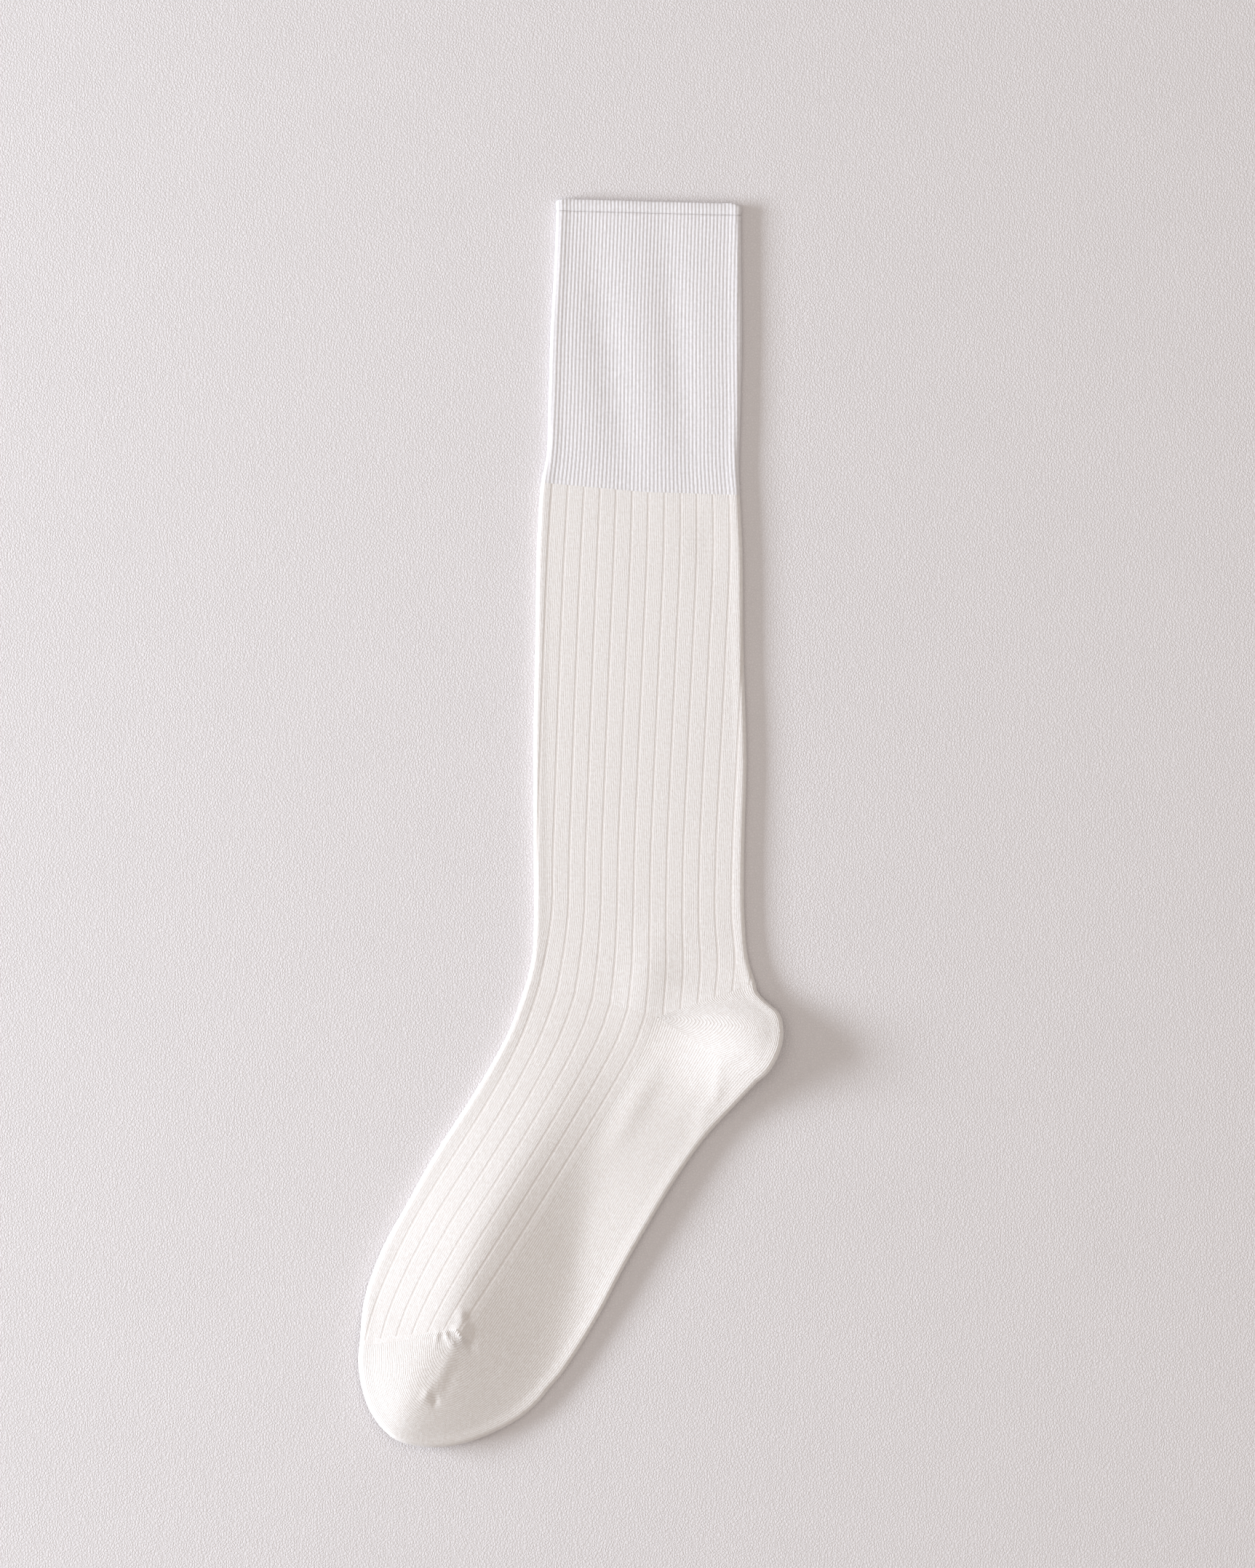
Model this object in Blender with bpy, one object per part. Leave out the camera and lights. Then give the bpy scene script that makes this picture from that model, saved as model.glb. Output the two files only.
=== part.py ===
"""A fine knitted knee sock that lies flat on its side, as one rounded, hollow tube of fabric.

Plan coordinates have the ankle point, where the heel's gore starts, at (0, 0). The leg runs up
+Y, the foot leans from it towards -X, and the heel points to +X. The underside is flat at Z = 0.
Every zone is the same folded fabric: a section runs from the side's middle line out to the front
or back edge, round that fold and back underneath.
"""

import math

import bmesh
import bpy
import numpy as np

# Lengths and widths of the zones, in metres
LEG_LENGTH = 0.2058
CUFF_LENGTH = 0.1092
WELT_LENGTH = 0.0048
FOOT_LENGTH = 0.1947
LEG_WIDTH = 0.0824
CUFF_WIDTH = 0.0724
FOOT_WIDTH = 0.0849
HEEL_DEPTH = 0.0499
TOE_DEPTH = 0.0490

# Angle in plan between the leg's line and the foot's, in degrees
FOOT_LEAN = 33.0

# Fabric
WALL = 0.0010
CUFF_WALL = 0.0012
WELT_WALL = 0.0015
EDGE_RADIUS = 0.0026
CROWN = 0.0025
CROWN_FADE = 0.0130
FOLD_HEIGHT = 0.0010
WELT_RISE = 0.0003
GAP = 0.0003

# Ribs
LEG_RIBS = 25
RIB_GROOVE = 0.0014
RIB_DEPTH = 0.00035
CUFF_RIBS = 100
CUFF_RIB_DEPTH = 0.00030

# Toe seam and the small eyelets at the points of the gores
SEAM_WIDTH = 0.0020
SEAM_RISE = 0.0007
NUB_RISE = 0.0015
NUB_LENGTH = 0.0045
GORE_EYE = 0.0008

# Share of a half section that is flat, the rest being the turn round the fold
FLAT_SHARE = 0.88

# Share of the knitted round that lies on the flat top, from the middle line to the front and
# to the back
FRONT_SHARE = 0.253
BACK_SHARE = 0.227

# One row for each section of the leg and cuff, from the ankle up. Along is a share of the
# zone's length. The front edge, middle line and back edge lie at shares of the width, and the
# two edges are raised by shares of it. The width is the leg's and the cuff's in the last share.
LEG_COLUMNS = ("zone", "along", "front", "middle", "back", "front_up", "back_up", "leg_part")
LEG_SECTIONS = (
    ("leg", 0.000, -0.619, 0.000, 0.467, 0.176, 0.163, 1.0),
    ("leg", 0.075, -0.597, -0.014, 0.433, 0.093, 0.093, 1.0),
    ("leg", 0.179, -0.586, -0.035, 0.416, 0.030, 0.035, 1.0),
    ("leg", 0.317, -0.588, -0.055, 0.415, 0.005, 0.007, 1.0),
    ("leg", 0.483, -0.590, -0.066, 0.426, 0.000, 0.000, 1.0),
    ("leg", 0.691, -0.581, -0.066, 0.412, 0.010, 0.000, 1.0),
    ("leg", 0.913, -0.569, -0.059, 0.405, 0.030, -0.010, 1.0),
    ("leg", 1.000, -0.553, -0.053, 0.394, 0.045, -0.014, 1.0),
    ("cuff", 0.090, -0.536, -0.052, 0.395, 0.040, -0.014, 0.9),
    ("cuff", 0.300, -0.545, -0.052, 0.417, 0.025, -0.014, 0.6),
    ("cuff", 0.550, -0.556, -0.051, 0.441, 0.018, -0.014, 0.3),
    ("cuff", 0.800, -0.550, -0.047, 0.450, 0.015, -0.013, 0.1),
    ("cuff", 1.000, -0.547, -0.045, 0.453, 0.014, -0.012, 0.0),
)

# One row for each section of the foot, from the ankle to the toe seam. Along is a share of the
# foot's length. The front and back edges and the middle line lie at shares of the foot's width
# across it, and the two edges lie further along it by shares of that width.
FOOT_COLUMNS = ("along", "front", "middle", "back", "front_on", "back_on")
FOOT_SECTIONS = (
    (0.000, -0.597, 0.000, 0.550, 0.184, -0.005),
    (0.066, -0.569, 0.002, 0.522, 0.140, 0.000),
    (0.146, -0.542, 0.004, 0.491, 0.084, 0.000),
    (0.242, -0.525, 0.007, 0.480, 0.034, 0.000),
    (0.351, -0.517, 0.010, 0.487, 0.004, 0.000),
    (0.461, -0.518, 0.015, 0.502, 0.000, 0.000),
    (0.564, -0.503, 0.015, 0.525, 0.030, 0.000),
    (0.659, -0.470, 0.010, 0.532, 0.150, 0.000),
    (0.705, -0.422, 0.008, 0.530, 0.220, 0.000),
    (0.748, -0.332, 0.005, 0.517, 0.294, 0.000),
)

# Outline of the heel pocket: the angle from +X and the reach from the ankle point, as a share
# of the heel's depth. The first and last reach come from the leg and the foot.
HEEL_OUTLINE = (
    (14.0, 0.815),
    (8.0, 0.868),
    (2.0, 0.957),
    (-5.0, 0.991),
    (-12.0, 1.000),
    (-19.0, 0.991),
    (-26.0, 0.972),
)

# Outline of the toe pocket: shares of the sweep from the seam's front end round the tip to the
# sole, and the reach from the nub as a share of the toe's depth.
TOE_OUTLINE = (
    (0.15, 0.867),
    (0.29, 0.966),
    (0.38, 1.000),
    (0.46, 0.978),
    (0.53, 0.953),
    (0.63, 0.911),
    (0.73, 0.882),
    (0.87, 0.879),
)

# Folds and dents of the top layer, one row each: the zone, the centre along and across it as
# shares of its length and width, the turn in degrees, the half length and half width as shares
# of its length and width, and the height in fold heights.
FOLD_COLUMNS = ("name", "zone", "along", "across", "turn", "half_length", "half_width", "height")
FOLDS = (
    ("toe dome", "foot", 0.800, 0.03, 2.0, 0.200, 0.30, 6.6),
    ("instep ridge", "foot", 0.450, -0.14, -4.0, 0.300, 0.20, 3.6),
    ("sole swell", "foot", 0.360, 0.30, 3.0, 0.160, 0.12, 1.4),
    ("sole hollow", "foot", 0.130, 0.14, 10.0, 0.100, 0.08, -0.5),
    ("heel swell", "leg", -0.050, 0.31, 0.0, 0.075, 0.20, 6.0),
    ("heel dent", "leg", -0.085, 0.40, 60.0, 0.020, 0.03, -0.9),
    ("ankle hollow", "leg", 0.075, 0.24, 8.0, 0.028, 0.20, -1.4),
    ("ankle fold", "leg", 0.080, -0.07, 14.0, 0.085, 0.05, 1.2),
    ("leg dent", "leg", 0.900, 0.24, 0.0, 0.045, 0.06, -0.8),
    ("cuff roll left", "cuff", 0.480, -0.26, -9.0, 0.420, 0.11, -0.6),
    ("cuff roll right", "cuff", 0.520, 0.10, -6.0, 0.420, 0.09, -0.5),
)

FOOT_AXIS = np.array([-math.sin(math.radians(FOOT_LEAN)), -math.cos(math.radians(FOOT_LEAN))])
FOOT_ACROSS = np.array([math.cos(math.radians(FOOT_LEAN)), -math.sin(math.radians(FOOT_LEAN))])
LEG_AXIS = np.array([0.0, 1.0])
LEG_ACROSS = np.array([1.0, 0.0])

# Where each zone's folds are measured from: origin, direction along, direction across, sizes
ZONES = {
    "leg": (np.zeros(2), LEG_AXIS, LEG_ACROSS, LEG_LENGTH, LEG_WIDTH),
    "cuff": (LEG_AXIS * LEG_LENGTH, LEG_AXIS, LEG_ACROSS, CUFF_LENGTH, CUFF_WIDTH),
    "foot": (np.zeros(2), FOOT_AXIS, FOOT_ACROSS, FOOT_LENGTH, FOOT_WIDTH),
}


def named_rows(columns, rows):
    """The rows of a table as dictionaries of its named columns."""
    return [dict(zip(columns, row)) for row in rows]


def smooth(at, knots, values):
    """Cubic through the knots, whose slope at each knot is that of its two neighbours."""
    knots = np.asarray(knots, float)
    values = np.asarray(values, float)
    slopes = np.gradient(values, knots, axis=0)
    start = np.clip(np.searchsorted(knots, at) - 1, 0, len(knots) - 2)
    span = knots[start + 1] - knots[start]
    u = (at - knots[start]) / span
    tall = (slice(None),) + (None,) * (values.ndim - 1)
    u, span = u[tall], span[tall]
    return (
        values[start] * (1 + 2 * u) * (1 - u) ** 2
        + slopes[start] * span * u * (1 - u) ** 2
        + values[start + 1] * u**2 * (3 - 2 * u)
        - slopes[start + 1] * span * u**2 * (1 - u)
    )


def leg_lines(at):
    """Middle line, front edge and back edge of the leg and cuff at heights above the ankle."""
    heights, middles, fronts, backs = [], [], [], []
    for row in named_rows(LEG_COLUMNS, LEG_SECTIONS):
        below = 0.0 if row["zone"] == "leg" else LEG_LENGTH
        height = below + row["along"] * (LEG_LENGTH if row["zone"] == "leg" else CUFF_LENGTH)
        width = row["leg_part"] * LEG_WIDTH + (1 - row["leg_part"]) * CUFF_WIDTH
        heights.append(height)
        middles.append((row["middle"] * width, height))
        fronts.append((row["front"] * width, height + row["front_up"] * width))
        backs.append((row["back"] * width, height + row["back_up"] * width))
    top = heights[-1]
    beyond = np.maximum(at - top, 0)[:, None] * LEG_AXIS
    inside = np.minimum(at, top)
    return tuple(smooth(inside, heights, line) + beyond for line in (middles, fronts, backs))


def foot_lines(at):
    """Middle line, front edge and back edge of the foot at distances from the ankle."""
    places, middles, fronts, backs = [], [], [], []
    for row in named_rows(FOOT_COLUMNS, FOOT_SECTIONS):
        place = row["along"] * FOOT_LENGTH
        front_place = place + row["front_on"] * FOOT_WIDTH
        back_place = place + row["back_on"] * FOOT_WIDTH
        places.append(place)
        middles.append(FOOT_AXIS * place + FOOT_ACROSS * row["middle"] * FOOT_WIDTH)
        fronts.append(FOOT_AXIS * front_place + FOOT_ACROSS * row["front"] * FOOT_WIDTH)
        backs.append(FOOT_AXIS * back_place + FOOT_ACROSS * row["back"] * FOOT_WIDTH)
    return tuple(smooth(at, places, line) for line in (middles, fronts, backs))


def folds_at(place):
    """Height of all folds and dents at plan points: each is a soft bell, longer one way."""
    height = np.zeros(len(place))
    for fold in named_rows(FOLD_COLUMNS, FOLDS):
        origin, axis, side, length, width = ZONES[fold["zone"]]
        centre = origin + axis * fold["along"] * length + side * fold["across"] * width
        turn = math.radians(fold["turn"])
        way = axis * math.cos(turn) + side * math.sin(turn)
        cross = side * math.cos(turn) - axis * math.sin(turn)
        on = (place - centre) @ way / (fold["half_length"] * length)
        off = (place - centre) @ cross / (fold["half_width"] * width)
        height += fold["height"] * FOLD_HEIGHT * np.exp(-(on**2) - off**2)
    return height


def fabric(middle, edge, around, inset):
    """Points of the folded fabric, inset from its outer face.

    Around is 0 at the top middle, 1 at the outermost line of the fold and 2 underneath at the
    middle. The flat share runs level to the fold's centre, and the rest turns round it. The top
    rises from the fold to the crown and the folds, and the underside stays flat.
    """
    out = edge - middle
    reach = np.linalg.norm(out, axis=1)
    out = out / reach[:, None]
    share = 1 - np.abs(1 - around)
    level = np.minimum(share / FLAT_SHARE, 1)
    turn = np.clip((share - FLAT_SHARE) / (1 - FLAT_SHARE), 0, 1) * math.pi / 2
    distance = level * (reach - EDGE_RADIUS) + (EDGE_RADIUS - inset) * np.sin(turn)
    place = middle + out * distance[:, None]
    from_fold = np.clip((reach - EDGE_RADIUS) * (1 - level) / CROWN_FADE, 0, 1)
    fade = from_fold**2 * (3 - 2 * from_fold)
    is_top = around < 1
    half = (EDGE_RADIUS - inset) * np.cos(turn)
    rise = fade * (CROWN + folds_at(place))
    height = np.where(is_top, EDGE_RADIUS + half + rise, EDGE_RADIUS - half)
    return np.column_stack([place, height])


def tube_ring(lines, at, ring, inset, shift):
    """One closed ring of a tube. Each of its points is shifted along the fabric by a distance."""
    side, around, relief = ring
    step = 0.0005

    def placed(where):
        middle, front, back = lines(where)
        edge = np.where(side[:, None] < 0, front, back)
        return middle, edge, fabric(middle, edge, around, inset)

    where = np.full(len(around), at)
    middle, edge, _ = placed(where)
    out = (edge - middle) / np.linalg.norm(edge - middle, axis=1)[:, None]
    speed = (placed(where + step)[2] - placed(where - step)[2])[:, :2] / (2 * step)
    rate = np.abs(speed[:, 0] * out[:, 1] - speed[:, 1] * out[:, 0])
    points = placed(where + shift / rate)[2]
    points[:, 2] -= relief
    return points


def evenly(start, stop, count):
    return list(np.linspace(start, stop, count))


def groove_stations(spacing, half_groove, first, last):
    """Shares of the round where grooves lie between two limits, as (share, is the bottom)."""
    stations = []
    count = int(math.floor((last - first) / spacing))
    for index in range(-count, count + 1):
        middle = index * spacing
        if first < middle - half_groove and middle + half_groove < last:
            stations += [(middle - half_groove, 0), (middle, 1), (middle + half_groove, 0)]
    return stations


def outer_ring(ribs, groove, depth, front_only=False):
    """Side, around and relief of a tube's outer ring, whose top carries rib grooves.

    Ribs are evenly spaced round the knit. The ring starts at the top middle, runs to the front,
    underneath and up the back.
    """
    backmost = -groove if front_only else -BACK_SHARE
    top = []
    for share, bottom in groove_stations(1.0 / ribs, groove / 2, backmost, FRONT_SHARE):
        reach = share / (FRONT_SHARE if share >= 0 else BACK_SHARE)
        top.append((reach * FLAT_SHARE, depth * bottom))
    if front_only:
        top += [(-t, 0.0) for t in evenly(0.15, FLAT_SHARE - 0.1, 6)]
    front = sorted(t for t in top if t[0] >= 0)
    back = sorted(t for t in top if t[0] < 0)
    under_front = evenly(FLAT_SHARE, 2 - FLAT_SHARE, 7) + [1.5, 2.0]
    under_back = under_front[-2::-1]
    side = [-1] * (len(front) + len(under_front)) + [1] * (len(under_back) + len(back))
    around = [t[0] for t in front] + under_front + under_back + [-t[0] for t in back]
    relief = np.zeros(len(around))
    relief[: len(front)] = [t[1] for t in front]
    relief[len(around) - len(back) :] = [t[1] for t in back]
    return np.array(side), np.array(around), relief


def inner_ring(count=7):
    """Side, around and relief of a tube's inner ring, which has no ribs."""
    half = evenly(0, FLAT_SHARE, count) + evenly(FLAT_SHARE, 2 - FLAT_SHARE, 5)[1:] + [1.5, 2.0]
    side = [-1] * len(half) + [1] * (len(half) - 2)
    around = half + half[-2:0:-1]
    return np.array(side), np.array(around), np.zeros(len(around))


def ring_order(ring):
    """How far round the ring each point is, from 0 to 4, for joining rings of unlike counts."""
    side, around, _ = ring
    return np.where(side < 0, around, 4 - around)


def join_rings(faces, first, first_order, second, second_order):
    """Triangles between two closed rings, always taking the next point that comes first."""
    i = j = 0
    while i < len(first) or j < len(second):
        next_i = first_order[i + 1] if i + 1 < len(first) else 4.0
        next_j = second_order[j + 1] if j + 1 < len(second) else 4.0
        a, b = first[i % len(first)], second[j % len(second)]
        if j >= len(second) or (i < len(first) and next_i <= next_j):
            faces.append((a, first[(i + 1) % len(first)], b))
            i += 1
        else:
            faces.append((a, second[(j + 1) % len(second)], b))
            j += 1


def add_strips(faces, rows, closed):
    """Quads between following rows of equally many points."""
    for low, high in zip(rows, rows[1:]):
        count = len(low) if closed else len(low) - 1
        for k in range(count):
            after = (k + 1) % len(low)
            faces.append((low[k], low[after], high[after], high[k]))


def stack(blocks):
    """Point indices of blocks of points that follow each other in one mesh."""
    indices, start = [], 0
    for block in blocks:
        indices.append(list(range(start, start + len(block))))
        start += len(block)
    return indices


def make_object(name, points, faces, material):
    mesh = bpy.data.meshes.new(name)
    mesh.from_pydata([tuple(p) for p in points], [], faces)
    work = bmesh.new()
    work.from_mesh(mesh)
    bmesh.ops.recalc_face_normals(work, faces=work.faces)
    bmesh.ops.triangulate(work, faces=work.faces)
    work.to_mesh(mesh)
    work.free()
    mesh.materials.append(material)
    mesh.shade_smooth()
    mesh.set_sharp_from_angle(angle=math.radians(40))
    thing = bpy.data.objects.new(name, mesh)
    bpy.context.collection.objects.link(thing)
    return thing


def make_tube(name, lines, stations, outer, wall, material, rise=0.0):
    """A hollow tube open at both ends. A station is a distance and the shift of its points."""
    inner = inner_ring()
    outer_rows, inner_rows = [], []
    for at, shift_of in stations:
        row = tube_ring(lines, at, outer, 0.0, shift_of(outer))
        row[:, 2] += rise * (row[:, 2] > EDGE_RADIUS)
        outer_rows.append(row)
        row = tube_ring(lines, at, inner, wall, shift_of(inner))
        row[:, 2] += rise * (row[:, 2] > EDGE_RADIUS)
        inner_rows.append(row)
    rows = outer_rows + inner_rows
    indices = stack(rows)
    outside, inside = indices[: len(stations)], indices[len(stations) :]
    faces = []
    add_strips(faces, outside, True)
    add_strips(faces, inside, True)
    for end in (0, -1):
        join_rings(faces, outside[end], ring_order(outer), inside[end], ring_order(inner))
    return make_object(name, np.vstack(rows), faces, material)


def pocket_rays(centre, angles, reaches, first_gap, last_gap, count):
    """Middles and edges of a turned pocket's rays, clear of the tubes on its two sides.

    The rays fan out from a point that is the first gap away from the first side's line and the
    last gap away from the last side's, and they end on the outline round the centre.
    """
    first, last = math.radians(angles[0]), math.radians(angles[-1])
    first_way = np.array([math.cos(first), math.sin(first)])
    last_way = np.array([math.cos(last), math.sin(last)])
    spread = abs(math.sin(last - first))
    apex = centre + (first_way * last_gap + last_way * first_gap) / spread
    turn = math.copysign(1.0, last - first)
    begin = first + turn * math.asin(first_gap / reaches[0])
    end = last - turn * math.asin(last_gap / reaches[-1])
    sweep = np.linspace(begin, end, count)
    order = np.radians(angles) * turn
    reach = smooth(sweep * turn, order, reaches)
    edge = centre + np.column_stack([np.cos(sweep), np.sin(sweep)]) * reach[:, None]
    way = (edge - apex) / np.linalg.norm(edge - apex, axis=1)[:, None]
    return apex + way * GORE_EYE, edge


def make_pocket(name, middles, edges, wall, material):
    """A turned pocket: half sections fanned about its gore's point, open towards the tubes."""
    half = evenly(0, FLAT_SHARE, 10) + evenly(FLAT_SHARE, 2 - FLAT_SHARE, 7)[1:]
    around = np.array(half + [1.5, 2.0])
    rows = []
    for inset in (0.0, wall):
        for middle, edge in zip(middles, edges):
            full = np.ones((len(around), 1))
            rows.append(fabric(full * middle, full * edge, around, inset))
    indices = stack(rows)
    outside, inside = indices[: len(middles)], indices[len(middles) :]
    faces = []
    add_strips(faces, outside, False)
    add_strips(faces, inside, False)
    for end in (0, -1):
        add_strips(faces, [outside[end], inside[end]], False)
        column = [row[end] for row in outside], [row[end] for row in inside]
        add_strips(faces, list(column), False)
    return make_object(name, np.vstack(rows), faces, material)


def make_seam(name, lines, at, wall, material):
    """The linked seam round the front half: a low ridge between foot and toe, with its nub."""
    around = np.array(evenly(0.0, 0.15, 5) + evenly(0.25, FLAT_SHARE, 7)
                      + evenly(FLAT_SHARE, 2 - FLAT_SHARE, 7)[1:] + [1.5, 2.0])
    side = -np.ones(len(around))
    _, front, _ = lines(np.array([at]))
    reach = np.linalg.norm(front[0] - lines(np.array([at]))[0][0])
    nub = np.exp(-((around * reach / NUB_LENGTH) ** 2))
    raised = (SEAM_RISE + NUB_RISE * nub) * np.clip((FLAT_SHARE - around) / 0.1, 0, 1)
    shoulder = SEAM_WIDTH * 0.35
    rows = []
    profile = ((-SEAM_WIDTH / 2, 0.0, 0.0), (-shoulder, 0.8, 0.0), (0.0, 1.0, 0.0),
               (shoulder, 0.8, 0.0), (SEAM_WIDTH / 2, 0.0, 0.0),
               (SEAM_WIDTH / 2, 0.0, wall), (-SEAM_WIDTH / 2, 0.0, wall))
    for shift, share, inset in profile:
        ring = side, around, -raised * share
        rows.append(tube_ring(lines, at, ring, inset, np.full(len(around), shift)))
    indices = stack(rows)
    faces = []
    add_strips(faces, indices + indices[:1], False)
    faces.append(tuple(row[0] for row in indices))
    faces.append(tuple(row[-1] for row in indices))
    return make_object(name, np.vstack(rows), faces, material)


def make_material(name, colour, roughness):
    material = bpy.data.materials.new(name)
    material.use_nodes = True
    shader = material.node_tree.nodes["Principled BSDF"]
    shader.inputs["Base Color"].default_value = (*colour, 1.0)
    shader.inputs["Roughness"].default_value = roughness
    shader.inputs["Metallic"].default_value = 0.0
    return material


def no_shift(ring):
    return np.zeros(len(ring[1]))


def even_shift(distance):
    """All points of a ring move by the same distance along the fabric."""
    return lambda ring: np.full(len(ring[1]), distance)


def before_seam(ring):
    """The foot's end keeps clear of the seam on its front half and of the toe on its back."""
    side, _, _ = ring
    return np.where(side < 0, -SEAM_WIDTH / 2 - GAP, -GAP / 2)


def build_leg_tubes():
    """Leg, cuff and welt, one above the other."""
    cuff_at = LEG_LENGTH
    welt_at = LEG_LENGTH + CUFF_LENGTH
    top_at = welt_at + WELT_LENGTH
    leg_ring = outer_ring(LEG_RIBS, RIB_GROOVE / (2 * LEG_WIDTH), RIB_DEPTH)
    cuff_ring = outer_ring(CUFF_RIBS, 0.5 / CUFF_RIBS, CUFF_RIB_DEPTH)
    plain = inner_ring(9)

    ankle_shares = (0.035, 0.075, 0.125, 0.18, 0.25, 0.32, 0.48, 0.69, 0.85, 0.95)
    leg_stations = [(0.0, even_shift(GAP / 2))]
    leg_stations += [(share * LEG_LENGTH, no_shift) for share in ankle_shares]
    leg_stations += [(cuff_at, even_shift(-GAP / 2))]
    cuff_stations = [(cuff_at, even_shift(GAP / 2))]
    cuff_stations += [(cuff_at + share * CUFF_LENGTH, no_shift) for share in (0.09, 0.3, 0.55, 0.8)]
    cuff_stations += [(welt_at, even_shift(-GAP / 2))]
    welt_stations = [(welt_at, even_shift(GAP / 2)), (top_at, no_shift)]

    make_tube("leg", leg_lines, leg_stations, leg_ring, WALL,
              make_material("cream_knit", (0.83, 0.80, 0.75), 0.85))
    make_tube("cuff", leg_lines, cuff_stations, cuff_ring, CUFF_WALL,
              make_material("white_rib", (0.82, 0.81, 0.81), 0.85))
    make_tube("welt", leg_lines, welt_stations, plain, WELT_WALL,
              make_material("white_welt", (0.85, 0.84, 0.83), 0.85), WELT_RISE)


def build_foot_tube():
    """The foot, its toe seam, and the point where the toe pocket starts."""
    seam_at = FOOT_SECTIONS[-1][0] * FOOT_LENGTH
    ring = outer_ring(LEG_RIBS, RIB_GROOVE / (2 * LEG_WIDTH), RIB_DEPTH, front_only=True)
    stations = [(0.0, even_shift(GAP / 2))]
    stations += [(seam_at * share, no_shift) for share in evenly(0.05, 0.94, 12)]
    stations += [(seam_at, before_seam)]
    make_tube("foot", foot_lines, stations, ring, WALL,
              make_material("cream_foot", (0.84, 0.81, 0.77), 0.8))
    make_seam("toe_seam", foot_lines, seam_at, WALL,
              make_material("cream_seam", (0.82, 0.78, 0.72), 0.85))


def build_heel():
    """The heel pocket, from the leg's back edge round to the foot's."""
    ankle = np.array([0.0])
    leg_middle, _, leg_back = leg_lines(ankle)
    foot_middle, _, foot_back = foot_lines(ankle)
    upper = math.degrees(math.atan2(*(leg_back - leg_middle)[0][::-1]))
    lower = math.degrees(math.atan2(*(foot_back - foot_middle)[0][::-1]))
    angles = [upper] + [row[0] for row in HEEL_OUTLINE] + [lower]
    reaches = [np.linalg.norm(leg_back - leg_middle)]
    reaches += [row[1] * HEEL_DEPTH for row in HEEL_OUTLINE]
    reaches += [np.linalg.norm(foot_back - foot_middle)]
    middles, edges = pocket_rays(np.zeros(2), angles, reaches, GAP / 2, GAP / 2, 13)
    make_pocket("heel", middles, edges, WALL, make_material("cream_heel", (0.86, 0.83, 0.79), 0.8))


def build_toe():
    """The toe pocket, from the seam's front end round the tip to the sole."""
    seam_at = np.array([FOOT_SECTIONS[-1][0] * FOOT_LENGTH])
    middle, front, back = (line[0] for line in foot_lines(seam_at))
    first = math.degrees(math.atan2(*(front - middle)[::-1]))
    last = math.degrees(math.atan2(*(back - middle)[::-1]))
    start = first % 360
    sweep = (last - start) % 360
    angles = [start] + [start + row[0] * sweep for row in TOE_OUTLINE] + [start + sweep]
    reaches = [np.linalg.norm(front - middle)]
    reaches += [row[1] * TOE_DEPTH for row in TOE_OUTLINE]
    reaches += [np.linalg.norm(back - middle)]
    middles, edges = pocket_rays(middle, angles, reaches, SEAM_WIDTH / 2 + GAP, GAP / 2, 19)
    make_pocket("toe", middles, edges, WALL, make_material("cream_toe", (0.86, 0.83, 0.79), 0.8))


def centre_everything():
    """Moves all pieces so that the middle of the sock's box is at X = Y = 0."""
    pieces = list(bpy.context.collection.objects)
    corners = np.array([v.co[:] for piece in pieces for v in piece.data.vertices])
    middle = (corners.min(axis=0) + corners.max(axis=0)) / 2
    for piece in pieces:
        piece.location = (-middle[0], -middle[1], 0.0)


def main():
    for thing in list(bpy.data.objects):
        bpy.data.objects.remove(thing)
    build_leg_tubes()
    build_foot_tube()
    build_heel()
    build_toe()
    centre_everything()


main()
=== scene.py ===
"""A fine knee sock that lies flat, dressed in its knitted zones, with its floor, light and camera.

The sock is one knitted tube. Each zone is a grid of points whose columns follow the wales, which
are the upright lines of stitches, and whose rows follow the courses. Needle numbers count the
wales round the tube: 0 is the dropped needle beside the ankle, and the front has minus numbers.
"""

import math

import bpy
import numpy as np
from bpy.props import FloatProperty, FloatVectorProperty, PointerProperty
from bpy.types import Operator, Panel, PropertyGroup
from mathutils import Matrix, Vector


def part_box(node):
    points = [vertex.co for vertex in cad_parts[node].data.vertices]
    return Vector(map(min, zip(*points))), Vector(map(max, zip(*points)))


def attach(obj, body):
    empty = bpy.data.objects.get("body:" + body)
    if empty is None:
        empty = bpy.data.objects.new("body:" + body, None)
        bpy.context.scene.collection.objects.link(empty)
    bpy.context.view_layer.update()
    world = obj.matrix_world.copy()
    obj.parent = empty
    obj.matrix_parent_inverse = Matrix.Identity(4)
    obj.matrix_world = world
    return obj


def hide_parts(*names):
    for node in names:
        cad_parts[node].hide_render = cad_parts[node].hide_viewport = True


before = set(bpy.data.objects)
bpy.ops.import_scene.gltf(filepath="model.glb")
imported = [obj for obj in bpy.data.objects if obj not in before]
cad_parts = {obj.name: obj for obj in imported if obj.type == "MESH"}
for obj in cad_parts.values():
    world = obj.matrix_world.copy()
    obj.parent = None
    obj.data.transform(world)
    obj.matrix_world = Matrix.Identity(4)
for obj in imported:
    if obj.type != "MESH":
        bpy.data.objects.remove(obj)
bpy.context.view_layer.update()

bl_info = {
    "name": "Flat knee sock",
    "version": (1, 0, 0),
    "blender": (4, 5, 0),
    "location": "View3D > Sidebar > Sock",
    "description": "Builds a fine knitted knee sock that lies flat on a pale floor",
    "category": "Add Mesh",
}

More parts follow.
